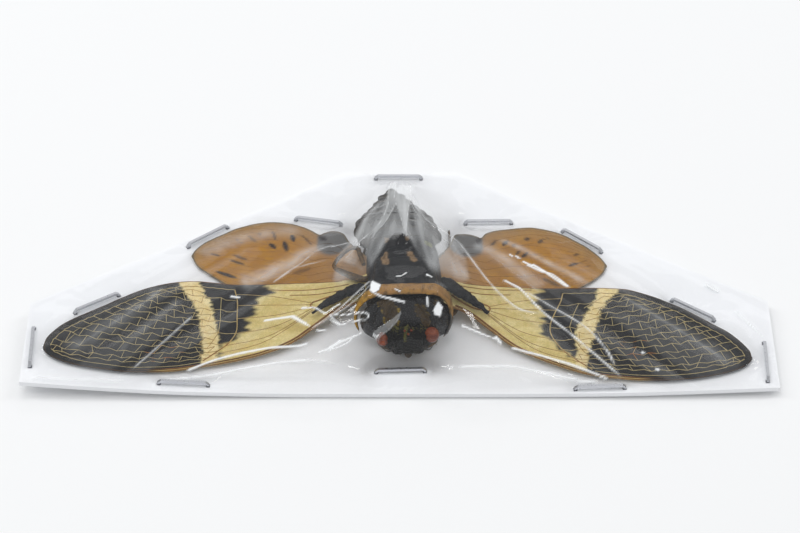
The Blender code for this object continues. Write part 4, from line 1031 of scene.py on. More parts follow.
cloud = noiseTexture(eyeSkin, 0.7, 4, 0.6)
colour = mixColour(eyeSkin, spread(eyeSkin, cloud, 0.35, 0.68), (0.13, 0.020, 0.008), (0.30, 0.070, 0.022))
plug(eyeSkin, colour, shader.inputs["Base Color"])
facets = addNode(eyeSkin, "TexVoronoi", feature="DISTANCE_TO_EDGE")
facets.inputs["Scale"].default_value = 14000
plug(eyeSkin, addNode(eyeSkin, "TexCoord").outputs["Object"], facets.inputs["Vector"])
addBump(eyeSkin, shader, facets.outputs["Distance"], 0.12, 0.03)
finishPiece("simple_eyes", bm, eyeSkin, (), covered=True)
for name in ("eye_left", "eye_right"):
    bm = bmesh.new()
    bmesh.ops.create_uvsphere(bm, u_segments=56, v_segments=40, radius=eyes[name]["radius"])
    bmesh.ops.scale(bm, vec=(0.97, 1.0, 1.06), verts=bm.verts)
    bmesh.ops.translate(bm, verts=bm.verts, vec=inBody([eyes[name]["place"]])[0])
    finishPiece(name + "_ball", bm, eyeSkin, [name], covered=True)
print("trunk done")


# legs, feelers, beak

marks = {"ochre": (0.42, 0.24, 0.06)}
legSkin = shellMaterial("legs", (0.045, 0.028, 0.014), (0.12, 0.07, 0.028), marks, 0.35, 1.6)
darkSkin = shellMaterial("dark limbs", (0.014, 0.013, 0.013), (0.04, 0.034, 0.028), None, 0.3)
legs = {
    "leg_front_left": [(-2.7, -14.6, 2.9, 0.8), (-2.9, -14.7, 2.1, 0.75), (-4.2, -14.9, 2.05, 0.72),
                       (-5.0, -15.6, 2.1, 0.55), (-4.8, -16.5, 2.1, 0.45), (-3.9, -17.1, 2.0, 0.42),
                       (-2.9, -17.5, 1.85, 0.38), (-2.1, -18.0, 1.75, 0.26), (-1.5, -18.5, 1.65, 0.18)],
    "leg_front_right": [(2.7, -14.6, 2.9, 0.8), (2.9, -14.7, 2.1, 0.75), (4.2, -14.8, 2.05, 0.72),
                        (5.1, -15.4, 2.1, 0.55), (5.0, -16.3, 2.1, 0.45), (4.1, -17.0, 2.0, 0.42),
                        (3.0, -17.4, 1.85, 0.38), (2.2, -17.9, 1.75, 0.26), (1.6, -18.4, 1.65, 0.18)],
    "leg_middle_left": [(-6.6, -5.8, 8.4, 0.5), (-7.6, -5.7, 8.0, 0.62), (-9.2, -4.5, 7.4, 0.66),
                        (-11.0, -2.7, 6.6, 0.58), (-12.6, -0.9, 6.0, 0.4), (-12.6, 0.6, 5.7, 0.36),
                        (-11.3, 2.4, 5.9, 0.36), (-9.6, 3.3, 6.6, 0.36), (-8.3, 2.7, 7.2, 0.42),
                        (-7.9, 0.6, 7.8, 0.44), (-7.3, -2.0, 8.0, 0.4)],
    "leg_middle_right": [(2.7, -9.2, 2.9, 0.75), (3.2, -9.2, 2.1, 0.7), (5.6, -9.8, 2.2, 0.72),
                         (8.0, -10.4, 2.6, 0.6), (9.2, -9.9, 2.8, 0.45), (9.3, -8.7, 2.6, 0.42),
                         (8.2, -7.6, 2.2, 0.36), (6.4, -7.1, 1.8, 0.28), (4.6, -6.9, 1.6, 0.2)],
    "leg_hind_left": [(-2.7, -3.4, 2.9, 0.75), (-3.2, -3.5, 2.1, 0.7), (-5.2, -4.6, 2.1, 0.65),
                      (-7.2, -5.8, 2.5, 0.55), (-8.3, -5.4, 2.6, 0.42), (-8.6, -4.2, 2.4, 0.4),
                      (-8.0, 0.5, 2.0, 0.36), (-7.2, 5.2, 1.7, 0.3), (-6.6, 8.6, 1.6, 0.2)],
    "leg_hind_right": [(2.7, -3.4, 2.9, 0.75), (3.2, -3.5, 2.1, 0.7), (5.4, -4.4, 2.1, 0.65),
                       (7.6, -5.2, 2.5, 0.55), (8.8, -4.7, 2.6, 0.42), (9.2, -3.4, 2.4, 0.4),
                       (9.3, 1.6, 2.0, 0.36), (9.4, 6.6, 1.7, 0.3), (9.5, 11.2, 1.6, 0.2)],
}


def addSpine(bm, base, direction, length, radius):
    made = bmesh.ops.create_cone(bm, cap_ends=True, segments=6, radius1=radius, radius2=0.01, depth=length)
    turn = Vector((0, 0, 1)).rotation_difference(Vector(direction).normalized()).to_matrix().to_4x4()
    place = Vector(base) + Vector(direction).normalized() * length * 0.45
    bmesh.ops.transform(bm, matrix=Matrix.Translation(place) @ turn, verts=made["verts"])


for name, joints in legs.items():
    line = smoothLine(joints, 90)
    dense = inBody(line[:, :3])
    radii = line[:, 3].copy()
    bm = tubes([(dense, radii)], 5)
    p = getPoints(bm)
    p += getNormals(bm) * (0.05 * wobble(p, 1.3) + 0.02 * wobble(p, 4.0, 2))[:, None]
    setPoints(bm, p)
    # two rows of spines, and a pair of claws at the end
    for k in range(48, 84, 5):
        side = np.cross(dense[k + 1] - dense[k], (0, 0, 1))
        side *= (1 if k % 2 else -1) / np.linalg.norm(side)
        addSpine(bm, dense[k] + side * radii[k] * 0.8, side + (dense[k + 1] - dense[k]) * 2, 0.55, 0.09)
    tip = (dense[-1] - dense[-3]) / np.linalg.norm(dense[-1] - dense[-3])
    for way in (-1, 1):
        addSpine(bm, dense[-1], tip + way * 0.5 * np.cross(tip, (0, 0, 1)), 0.6, 0.11)
    p = getPoints(bm)
    share = lineDistance(p, dense)[1]
    ochre = np.exp(-((share - 0.36) / 0.035) ** 2) + np.exp(-((share - 0.08) / 0.03) ** 2)
    if name == "leg_middle_left":
        ochre = 0.35 * step(wobble(p, 2.4, 6.0), 0.1, 0.35)
    finishPiece(name + "_limb", bm, legSkin, [name], {"ochre": ochre * 0.8}, covered=True)

for side, label in ((-1, "left"), (1, "right")):
    path = [(side * x, y, z, r) for x, y, z, r in
            ((2.6, -20.3, 5.9, 0.26), (2.9, -20.5, 5.4, 0.27), (3.3, -20.3, 4.8, 0.18),
             (3.7, -19.9, 4.2, 0.11), (4.1, -19.3, 3.7, 0.08), (4.5, -18.5, 3.4, 0.05))]
    line = smoothLine(path, 40)
    bm = tubes([(inBody(line[:, :3]), line[:, 3])], 3)
    finishPiece("antenna_" + label + "_feeler", bm, darkSkin, ["antenna_" + label], covered=True)

beak = [(0, -19.6, 2.9, 0.7), (0, -19.0, 2.2, 0.62), (0, -16.0, 1.95, 0.58), (0, -12.5, 1.8, 0.42),
        (0, -8.8, 1.65, 0.2)]
line = smoothLine(beak, 60)
bm = tubes([(inBody(line[:, :3]), line[:, 3])], 5)
p = getPoints(bm)
p += getNormals(bm) * (-0.12 * np.exp(-((p[:, 0] - 1.1) / 0.1) ** 2))[:, None]
setPoints(bm, p)
finishPiece("rostrum_beak", bm, legSkin, ["rostrum"], {"ochre": 0 * p[:, 0]})

# black joint plates where the forewings start, knotty and tapering outwards
joints = {
    "left": [(-6.6, -7.4, 7.6, 0.6), (-8.4, -8.0, 7.3, 1.15), (-10.3, -8.3, 6.5, 1.0),
             (-12.4, -9.0, 5.6, 0.8), (-14.4, -10.0, 4.9, 0.55), (-16.2, -11.2, 4.4, 0.2)],
    "right": [(6.6, -6.9, 8.0, 0.7), (8.3, -6.9, 7.7, 1.35), (10.2, -7.4, 7.0, 1.25), (12.0, -8.3, 6.1, 1.05),
              (14.0, -9.6, 5.3, 0.8), (16.2, -11.4, 4.6, 0.3)],
}
for label, path in joints.items():
    line = smoothLine(path, 90)
    bm = tubes([(line[:, :3], line[:, 3])], 7)
    p = getPoints(bm)
    middle = line[nearestOnLine(p, line[:, :3])]
    p[:, 2] = middle[:, 2] + (p[:, 2] - middle[:, 2]) * 0.62
    setPoints(bm, p)
    sculpt(bm, lambda p, n: 0.30 * wobble(p, 0.75, 2) + 0.16 * wobble(p, 1.9, 5) + 0.05 * wobble(p, 4.5, 1))
    finishPiece("wing_joint_" + label, bm, thoraxSkin, (), covered=True)
print("limbs done")


# hairs on the face and behind the head

def addHair(bm, uv, root, direction, length, radius, bend, patch):
    made = bmesh.ops.create_cone(bm, cap_ends=True, segments=4, depth=1.0,
                                 radius1=radius, radius2=radius * 0.15)
    bmesh.ops.translate(bm, verts=made["verts"], vec=(0, 0, 0.5))
    turn = Vector((0, 0, 1)).rotation_difference(direction).to_matrix()
    for v in made["verts"]:
        high = v.co.z
        v.co = Vector(root) + turn @ Vector((v.co.x, v.co.y, high * length)) + bend * high * high
    for face in {f for v in made["verts"] for f in v.link_faces}:
        for k, loop in enumerate(face.loops):
            loop[uv].uv = (patch[0] + 0.0015 * (k % 2), patch[1] + 0.0015 * (k // 2 % 2))


def growHairs(name, tree, build):
    seeds = random.Random(build["seed"])
    length = build["length"]
    bm = bmesh.new()
    uv = bm.loops.layers.uv.new("OFBake")
    grown = 0
    for _ in range(build["count"] * 4):
        if grown >= build["count"]:
            break
        place = [c + seeds.gauss(0, w) for c, w in zip(build["middle"], build["scatter"])]
        spot, normal, _, gap = tree.find_nearest(Vector(place))
        if spot is None or gap > 2.5:
            continue
        lean = Vector((seeds.gauss(0, 0.35), seeds.gauss(-0.25, 0.35), seeds.gauss(0.1, 0.3)))
        direction = (normal + lean).normalized()
        bend = Vector((seeds.gauss(0, 0.1), -0.08, -0.28)) * length
        around = (math.atan2(spot.z - 6.0, spot.x - 1.1) / (2 * math.pi)) % 1.0
        patch = (0.02 + 0.95 * around, 0.02 + 0.95 * min(1.0, max(0.0, (spot.y + 22) / 10)))
        long = length * seeds.uniform(0.55, 1.25)
        addHair(bm, uv, spot - normal * 0.05, direction, long, build["radius"], bend, patch)
        grown += 1
    finishPiece(name, bm, build["material"])


blackHair, shader = newMaterial("black hair", Roughness=0.6, Specular_IOR_Level=0.15)
shader.inputs["Base Color"].default_value = (0.006, 0.006, 0.006, 1)
greenHair, shader = newMaterial("olive hair", Roughness=0.55, Specular_IOR_Level=0.35)
shader.inputs["Base Color"].default_value = (0.17, 0.15, 0.035, 1)
hairs = {
    "face_hairs": {"count": 520, "middle": (1.4, -20.6, 6.0), "scatter": (2.1, 0.9, 1.6), "length": 0.5,
                   "radius": 0.045, "material": blackHair, "seed": 3},
    "crown_hairs": {"count": 170, "middle": (1.4, -18.2, 9.0), "scatter": (2.6, 0.6, 0.5), "length": 0.6,
                    "radius": 0.04, "material": greenHair, "seed": 8},
}
for name, build in hairs.items():
    growHairs(name, headTree, build)
print("hairs done")


# film

filmBuild = {
    "halfWidth": 68.35, "front": -27.25, "back": 27.2, "base": 1.12, "gap": 0.06,
    "fine": 0.23, "coarse": 0.36, "fineLeft": -16.5, "fineRight": 17.5, "fineFront": -24.0, "fineBack": 20.0,
    "nets": ((2.4, 300), (1.2, 500), (0.6, 900)),  # cell, passes
}
filmLook = {"roughness": 0.035, "ior": 1.5, "sheen": 0.72, "milk": 0.006, "milkColour": (0.9, 0.92, 0.93)}
staples = [((-43.8, -25.7), (-34.4, -25.9)), ((-4.7, -22.5), (4.9, -22.2)), ((31.4, -26.5), (40.8, -26.3)),
           ((-67.2, -13.7), (-66.9, -23.1)), ((66.7, -16.1), (66.4, -25.6)), ((-60.2, -10.0), (-52.3, -5.1)),
           ((-40.4, 7.4), (-33.1, 12.8)), ((-20.4, 15.2), (-11.0, 13.7)), ((-5.1, 26.1), (4.5, 26.1)),
           ((12.3, 14.1), (21.7, 14.2)), ((31.1, 12.1), (38.4, 6.4)), ((50.4, -5.7), (58.3, -11.0))]
# folds pressed into the film: line, rise in mm, half width in mm, whiteness, which is crease whitening
# together with a painted highlight along the crease
folds = [
    # pleats that run from the back staple over the abdomen
    ([(-1.6, 24.6), (-2.1, 19.2), (-2.3, 13.6), (-2.9, 9.6), (-3.6, 7.3), (-5.0, 5.0), (-7.1, 3.1),
      (-9.0, 0.1)], 0.3, 0.17, 0.75),
    ([(-0.8, 24.6), (-0.8, 18.0), (-0.8, 13.9), (-1.9, 9.4), (-3.1, 6.4), (-4.7, 4.1),
      (-5.9, 1.1)], 0.3, 0.16, 0.6),
    ([(-0.9, 20.5), (-1.1, 16.7), (-0.5, 12.3), (0.3, 7.5), (1.0, 3.5), (2.0, 0.9)], 0.3, 0.15, 0.7),
    ([(2.0, 24.0), (2.1, 17.6), (1.7, 12.9), (1.3, 7.1), (1.2, 1.9)], 0.35, 0.17, 0.8),
    ([(2.0, 14.5), (2.3, 12.8), (3.6, 8.5), (5.1, 6.1), (7.2, 4.4), (9.1, 3.0),
      (11.2, 2.0)], 0.25, 0.14, 0.55),
    ([(2.1, 16.0), (3.2, 11.5), (5.1, 7.9), (8.4, 6.1), (10.8, 4.1), (12.4, 1.3), (14.8, -3.2), (17.6, -7.3),
      (21.9, -11.1), (26.6, -11.2)], 0.35, 0.17, 0.7),
    # finer creases beside them
    ([(-13.1, 3.6), (-11.2, 3.5), (-9.5, 3.4), (-8.3, 2.8)], 0.12, 0.13, 0.6),
    ([(-10.4, -1.2), (-9.0, 0.4), (-7.4, 2.8)], 0.12, 0.13, 0.55),
    ([(-2.6, 13.7), (-5.3, 11.4), (-7.5, 10.5)], 0.1, 0.22, 0.3),
    ([(-3.1, 11.0), (-5.3, 8.8), (-6.9, 7.2)], 0.1, 0.3, 0.28),
    ([(-6.7, 7.1), (-7.1, 4.2), (-8.3, 0.9)], 0.1, 0.13, 0.5),
    ([(1.7, 10.2), (3.6, 8.4), (6.0, 7.4)], 0.1, 0.18, 0.4),
    ([(1.5, 8.0), (4.1, 6.9), (7.2, 5.4)], 0.1, 0.2, 0.35),
    ([(7.2, 3.2), (7.5, 0.2), (6.8, -3.3)], 0.1, 0.28, 0.3),
    ([(9.8, 2.1), (8.3, -0.1), (5.9, -1.8)], 0.1, 0.3, 0.25),
    ([(-7.6, 1.4), (-7.4, 2.8), (-5.9, 3.7), (-4.7, 4.9)], 0.12, 0.13, 0.6),
    ([(-12.0, -2.2), (-11.0, 0.4), (-9.3, 1.4), (-6.4, 1.2)], 0.12, 0.13, 0.4),
    # gathered from the loose leg to the front left
    ([(-5.1, -8.9), (-6.9, -10.3), (-9.7, -12.2), (-12.8, -14.2), (-16.5, -16.3)], 0.3, 0.17, 0.6),
    ([(-5.1, -9.8), (-6.5, -11.4), (-8.8, -12.7), (-11.4, -13.9), (-15.0, -15.7)], 0.25, 0.13, 0.45),
    # across the wings
    ([(-23.9, -4.0), (-19.2, -0.2), (-15.5, 3.2), (-11.6, 4.1)], 0.2, 0.14, 0.5),
    ([(-27.2, -3.3), (-23.0, -2.5), (-19.2, -0.6), (-13.4, 0.0)], 0.15, 0.14, 0.35),
    ([(16.1, 3.2), (20.9, -1.2), (26.3, -6.4)], 0.15, 0.1, 0.4),
    ([(-38.0, -10.7), (-43.4, -17.3), (-48.6, -23.8)], 0.2, 0.12, 0.5),
    ([(19.6, -4.5), (22.1, -5.9), (24.0, -8.1), (26.6, -11.2), (32.2, -16.3), (39.1, -23.6),
      (40.2, -25.1)], 0.2, 0.13, 1.0),
    ([(22.7, -6.1), (27.5, -9.2), (33.9, -13.6), (37.5, -18.4), (39.2, -22.6)], 0.16, 0.12, 0.75),
    # along the front
    ([(-41.8, -25.2), (-34.8, -24.1), (-27.6, -23.4), (-22.2, -22.8), (-16.1, -22.6),
      (-10.8, -23.4)], 0.15, 0.14, 0.5),
    ([(-66.4, -26.2), (-59.3, -26.4), (-54.0, -26.3), (-49.1, -26.2)], 0.1, 0.14, 0.5),
    ([(9.0, -24.1), (13.9, -24.4), (19.6, -24.1), (24.2, -24.3), (29.9, -24.7),
      (35.6, -25.3)], 0.12, 0.12, 0.5),
    ([(62.0, -8.7), (66.7, -15.4)], 0.1, 0.16, 0.35),
]
# painted highlights where the bent film shines, white on the film over a small ridge: line, half width in mm
# at the start and at the end
paintedShines = [
    ([(-4.8, -12.6), (-3.4, -13.5), (-1.8, -14.0), (-0.2, -14.5), (0.8, -14.8)], 0.1, 0.22),
    ([(4.9, -8.4), (5.8, -8.8)], 0.22, 0.15),
    ([(-0.7, -9.0), (0.3, -9.0), (1.2, -8.2)], 0.07, 0.09), ([(4.9, -13.9), (5.0, -15.2)], 0.2, 0.1),
    ([(-0.9, -12.4), (0.1, -13.0)], 0.12, 0.08),
    ([(-12.8, -13.9), (-9.9, -14.5), (-6.9, -15.1), (-5.8, -15.7), (-5.7, -16.2), (-6.7, -16.3),
      (-9.2, -16.0), (-10.9, -16.2), (-12.7, -14.9)], 0.06, 0.08),
    ([(-7.1, -18.2), (-9.9, -18.9), (-12.7, -20.2)], 0.12, 0.3),
    ([(-8.1, -18.3), (-9.7, -19.5), (-12.7, -20.7)], 0.07, 0.14),
    ([(-4.9, -18.8), (-4.4, -19.3), (-3.9, -19.5)], 0.09, 0.1),
    ([(11.3, -17.0), (13.0, -17.4), (14.5, -17.7)], 0.14, 0.07),
    ([(-38.3, -23.2), (-34.9, -21.6), (-31.3, -20.5), (-27.7, -19.7), (-24.1, -19.3), (-18.7, -19.4),
      (-16.9, -19.1)], 0.08, 0.14),
    ([(-19.6, -12.8), (-16.6, -15.3)], 0.25, 0.18), ([(-24.7, -13.0), (-20.0, -12.7)], 0.12, 0.12),
    ([(-17.9, -11.1), (-15.6, -11.6), (-13.8, -13.1), (-12.3, -12.5), (-11.0, -12.0)], 0.12, 0.1),
    ([(-14.7, -21.0), (-12.6, -20.3), (-10.9, -19.1)], 0.2, 0.35),
    ([(-15.2, -16.5), (-13.4, -16.8)], 0.12, 0.1),
    ([(-12.7, -14.2), (-10.9, -16.1)], 0.12, 0.1), ([(-31.3, -6.5), (-29.8, -6.8)], 0.12, 0.08),
    ([(24.0, 0.8), (26.7, -0.6), (28.7, -1.2), (31.3, -3.9)], 0.12, 0.15),
    ([(25.1, 1.0), (27.3, -0.7), (30.8, -3.8)], 0.25, 0.12),
    ([(11.3, -17.1), (14.0, -17.7), (17.3, -18.5)], 0.1, 0.1), ([(17.5, -18.2), (18.2, -19.2)], 0.3, 0.2),
    ([(20.5, -20.0), (23.5, -20.6), (26.2, -21.0), (30.4, -21.8), (33.8, -23.1), (37.2, -24.7)], 0.14, 0.1),
    ([(44.1, -19.1), (44.3, -19.2)], 0.2, 0.2), ([(46.5, -23.0), (46.7, -23.1)], 0.28, 0.28),
    ([(20.7, 3.4), (21.1, 3.0)], 0.12, 0.12), ([(21.9, 3.1), (22.4, 2.6)], 0.14, 0.12),
    ([(23.2, 1.7), (24.9, 0.7)], 0.14, 0.14),
    ([(19.5, -4.4), (22.3, -6.0)], 0.1, 0.16), ([(57.5, -2.3), (59.3, -4.0)], 0.16, 0.16),
    ([(-41.8, -25.2), (-34.8, -24.1), (-27.6, -23.4), (-22.2, -22.8), (-16.1, -22.6)], 0.06, 0.12),
    ([(9.0, -24.1), (13.9, -24.4), (19.6, -24.1), (24.2, -24.3), (29.9, -24.7), (35.6, -25.3)], 0.12, 0.06),
]
# outlines of the larger painted highlights
paintedShinePatches = [
    [(-5.1, -9.2), (-3.6, -11.0), (-3.9, -12.1), (-4.8, -12.6), (-5.4, -11.6)],
    [(6.9, -14.3), (7.6, -14.9), (7.2, -16.3), (6.3, -16.1), (6.1, -15.6)],
]
# milky zones and painted sheen: the long soft bands across the forewings are a painted reflection, the zones
# over the abdomen milky film; line, half width in mm at the start and at the end, strength
milkyAndPaintedSheen = [
    ([(-0.2, 24.0), (0.0, 20.0), (0.0, 15.0)], 1.5, 1.9, 0.16),
    ([(-1.3, 21.0), (-1.6, 13.0), (-3.9, 6.6), (-6.6, 2.4)], 0.45, 0.65, 0.24),
    ([(0.6, 18.0), (0.7, 12.0), (0.8, 6.0)], 1.0, 0.2, 0.22),
    ([(2.3, 14.5), (6.2, 6.6), (9.9, 4.0), (12.5, 0.6)], 0.2, 1.1, 0.2),
    ([(-43.8, -3.2), (-48.2, -8.4), (-54.7, -14.4), (-61.5, -20.3)], 1.4, 2.2, 0.11),
    ([(-43.4, -2.9), (-48.0, -8.4), (-54.7, -14.6), (-61.0, -20.3)], 0.4, 0.7, 0.17),
    ([(-40.5, -6.5), (-46.0, -13.0), (-52.0, -20.5)], 0.8, 1.0, 0.1),
    ([(40.1, -4.8), (46.6, -9.9), (52.4, -14.8), (57.1, -19.1), (62.1, -23.6)], 1.2, 1.9, 0.1),
    ([(40.1, -4.8), (46.6, -9.9), (52.4, -14.8), (57.1, -19.1), (61.0, -22.6)], 0.35, 0.5, 0.2),
    ([(18.4, 8.2), (21.8, 6.5), (25.6, 3.8), (29.4, 1.1), (33.2, -1.4), (36.0, -3.5)], 0.7, 0.8, 0.24),
    ([(13.5, 5.4), (19.0, 2.3), (23.7, -2.4), (27.5, -4.6)], 1.7, 1.5, 0.2),
    ([(-30.5, -3.4), (-25.0, -1.4), (-21.5, 0.4), (-17.2, 3.4), (-13.5, 4.8)], 1.8, 1.6, 0.24),
    ([(-38.0, 4.2), (-34.0, 7.2), (-28.6, 9.4), (-23.0, 10.7), (-18.0, 10.6)], 1.7, 1.8, 0.16),
]
# flat pleats that the staple at the back gathers, doubled and so whiter
pleats = [
    ([(-1.6, 24.0), (-2.1, 19.2), (-2.3, 13.6), (-2.9, 9.6), (-3.6, 7.3), (-5.0, 5.0), (-4.7, 4.1),
      (-3.1, 6.4), (-1.9, 9.4), (-0.8, 13.9), (-0.8, 18.0), (-0.8, 24.0)], 0.34),
    ([(-0.9, 22.0), (-1.1, 16.7), (-0.5, 12.3), (0.3, 7.5), (1.0, 3.5), (1.2, 1.9), (1.3, 7.1), (1.7, 12.9),
      (2.1, 17.6), (2.0, 22.0)], 0.4),
]
# the grey flap of film that stands up at the left of the head
flap = [(-4.9, -18.6), (-3.4, -18.1), (-1.6, -17.4), (0.1, -16.4), (-0.4, -17.4), (-1.8, -18.6),
        (-2.7, -19.0), (-3.9, -19.9)]


def spacedAxis(low, high, fineLow, fineHigh, fine, coarse):
    # an axis with close steps between fineLow and fineHigh and wider ones outside
    before = np.linspace(low, fineLow, max(2, round((fineLow - low) / coarse) + 1))
    middle = np.linspace(fineLow, fineHigh, round((fineHigh - fineLow) / fine) + 1)
    after = np.linspace(fineHigh, high, max(2, round((high - fineHigh) / coarse) + 1))
    return np.concatenate([before, middle[1:], after[1:]])


def filmShape(build):
    fine, coarse = build["fine"], build["coarse"]
    half = build["halfWidth"]
    xs = spacedAxis(-half, half, build["fineLeft"], build["fineRight"], fine, coarse)
    ys = spacedAxis(build["front"], build["back"], build["fineFront"], build["fineBack"], fine * 1.1, coarse)
    low = np.full((len(ys), len(xs)), build["base"])
    cover = BVHTree.FromPolygons(coverPoints, coverFaces)
    down = Vector((0, 0, -1))
    for j, y in enumerate(ys):
        for i, x in enumerate(xs):
            if abs(x) > 41 and y > -2 or y > 22:
                continue
            hit = cover.ray_cast(Vector((x, y, 40)), down, 39.5)[0]
            if hit:
                low[j, i] = max(low[j, i], hit.z + build["gap"])
    grown = low.copy()
    for dj in (-1, 0, 1):
        for di in (-1, 0, 1):
            grown = np.maximum(grown, np.roll(np.roll(low, dj, 0), di, 1))
    # rounded off, so that it lies on the insect without steps
    for _ in range(3):
        wide = np.pad(grown, 1, mode="edge")
        wide = (wide[:-2] + 2 * wide[1:-1] + wide[2:]) / 4
        grown = (wide[:, :-2] + 2 * wide[:, 1:-1] + wide[:, 2:]) / 4
    low = np.maximum(low, grown)
    gx, gy = np.meshgrid(xs, ys)
    flat = np.stack([gx.ravel(), gy.ravel()], 1)
    pinned = np.zeros(low.shape, bool)
    for ends in staples:
        pinned |= (lineDistance(flat, ends)[0] < 0.55).reshape(low.shape)
    low[pinned] = build["base"]
    # drawn tight: a coarse even net first, then two finer ones
    height = None
    for cell, passes in build["nets"]:
        ex = np.linspace(xs[0], xs[-1], round((xs[-1] - xs[0]) / cell) + 1)
        ey = np.linspace(ys[0], ys[-1], round((ys[-1] - ys[0]) / cell) + 1)
        kx = np.abs(xs[:, None] - ex[None]).argmin(1)
        ky = np.abs(ys[:, None] - ey[None]).argmin(1)
        bound = np.full((len(ey), len(ex)), build["base"])
        np.maximum.at(bound, (ky[:, None], kx[None]), low)
        pin = np.zeros(bound.shape, bool)
        np.logical_or.at(pin, (ky[:, None], kx[None]), pinned)
        bound[pin] = build["base"]
        h = bound.copy() if height is None else np.maximum(bound, regrid(height, oldX, oldY, ex, ey))
        for _ in range(passes):
            mean = h.copy()
            mean[1:-1, 1:-1] = 0.25 * (h[:-2, 1:-1] + h[2:, 1:-1] + h[1:-1, :-2] + h[1:-1, 2:])
            mean[0, 1:-1] = (h[0, :-2] + h[0, 2:] + h[1, 1:-1]) / 3
            mean[-1, 1:-1] = (h[-1, :-2] + h[-1, 2:] + h[-2, 1:-1]) / 3
            mean[:, 0], mean[:, -1] = mean[:, 1], mean[:, -2]
            h = np.maximum(bound, mean)
            h[pin] = build["base"]
        height, oldX, oldY = h, ex, ey
    return xs, ys, np.maximum(low, regrid(height, oldX, oldY, xs, ys)), low, pinned


def regrid(values, oldX, oldY, newX, newY):
    rows = np.array([np.interp(newX, oldX, r) for r in values])
    return np.array([np.interp(newY, oldY, c) for c in rows.T]).T


xs, ys, height, low, pinned = filmShape(filmBuild)
print("film drawn tight over the insect")
gx, gy = np.meshgrid(xs, ys)
flat = np.stack([gx.ravel(), gy.ravel(), 0 * gx.ravel()], 1)
# the net is wider out on the wings, so folds and painted highlights are softer there
onWings = np.abs(flat[:, 0]) > 17
white = np.zeros(len(flat))
shift = np.zeros(len(flat))
# each fold is raised and whitened: crease whitening together with a painted highlight
for line, rise, wide, pale in folds:
    away, share = lineDistance(flat, smoothLine(line, 60))
    fade = step(share, 0.0, 0.08) * step(share, 1.0, 0.9)
    ridge = np.exp(-(away / (wide + 0.14)) ** 2) * fade
    shift += rise * ridge
    uneven = 0.75 + 0.5 * flatWobble(flat, 0.7, pale * 7)
    wide = np.where(onWings, wide + 0.07, wide)
    white = np.maximum(white, pale * np.exp(-(away / wide) ** 2) * fade * uneven)
# painted highlights: the glints of the lamps in the film, put into its white as flat white marks
paintedGlare = np.zeros(len(flat))
for line, begin, end in paintedShines:
    away, share = lineDistance(flat, smoothLine(line, 40))
    wide = (begin + (end - begin) * share) * (0.85 + 0.5 * flatWobble(flat, 0.9, 2.2))
    soft = np.where(onWings, 0.26, 0.1)
    paintedGlare = np.maximum(paintedGlare, 0.95 * step(away, wide + soft, wide * 0.35))
    shift += 0.1 * np.exp(-(away / (wide + 0.15)) ** 2)
for patch in paintedShinePatches:
    beside = lineDistance(flat, patch + patch[:1])[0]
    paintedGlare = np.maximum(paintedGlare, 0.95 * np.where(insideOutline(flat, patch), 1.0, step(beside, 0.2, 0.0)))
# soft waves across the wings, along the way that the film is pulled, with a painted sheen on their crests
left = flat[:, 0] < 0
across = np.where(left, flat[:, 0] * 0.63 - flat[:, 1] * 0.78, -flat[:, 0] * 0.63 - flat[:, 1] * 0.78)
along = np.where(left, -flat[:, 0] * 0.78 - flat[:, 1] * 0.63, flat[:, 0] * 0.78 - flat[:, 1] * 0.63)
waves = np.array([noise.noise(Vector((a * 0.33, b * 0.03, 3.0))) for a, b in zip(across, along)])
outward = step(np.abs(flat[:, 0]), 16.0, 26.0)
shift += 0.22 * waves * outward
hazeAndPaintedSheen = 0.05 * step(waves, 0.12, 0.42) * outward
# milky zones of the film and painted sheen bands
for line, begin, end, strength in milkyAndPaintedSheen:
    away, share = lineDistance(flat, smoothLine(line, 40))
    wide = begin + (end - begin) * share
    soft = np.exp(-(away / wide) ** 2) * step(share, 0.0, 0.1) * step(share, 1.0, 0.85)
    hazeAndPaintedSheen = np.maximum(hazeAndPaintedSheen, strength * soft * (1 + 0.5 * flatWobble(flat, 0.5, 4.4)))
for ends in staples:
    middle = (np.array(ends[0]) + np.array(ends[1])) / 2
    away, share = lineDistance(flat, ends)
    pull = np.exp(-away / 4.0) * step(away, 0.4, 1.6)
    angle = np.arctan2(flat[:, 1] - middle[1], flat[:, 0] - middle[0])
    shift += 0.08 * pull * np.sin(angle * 13 + middle[0])
# milky and streaked where it hangs free between the body and the back staple
angle = np.arctan2(flat[:, 0] - 0.2, 30.0 - flat[:, 1])
reach = np.hypot(flat[:, 0], 30.0 - flat[:, 1])
streaks = np.array([noise.noise(Vector((a * 15, r * 0.14, 5.0))) for a, r in zip(angle, reach)])
streaks += 0.35 * np.array([noise.noise(Vector((a * 38, r * 0.25, 1.0))) for a, r in zip(angle, reach)])
halfTent = np.interp(-flat[:, 1], [-24.0, -19.0, -12.0, -5.0, 0.0, 6.0, 10.0],
                     [0.8, 2.2, 6.3, 9.6, 12.5, 13.0, 11.0])
tent = step(np.abs(flat[:, 0] - 0.2), halfTent, halfTent - 1.2) * step(flat[:, 1], -8.5, -4.5)
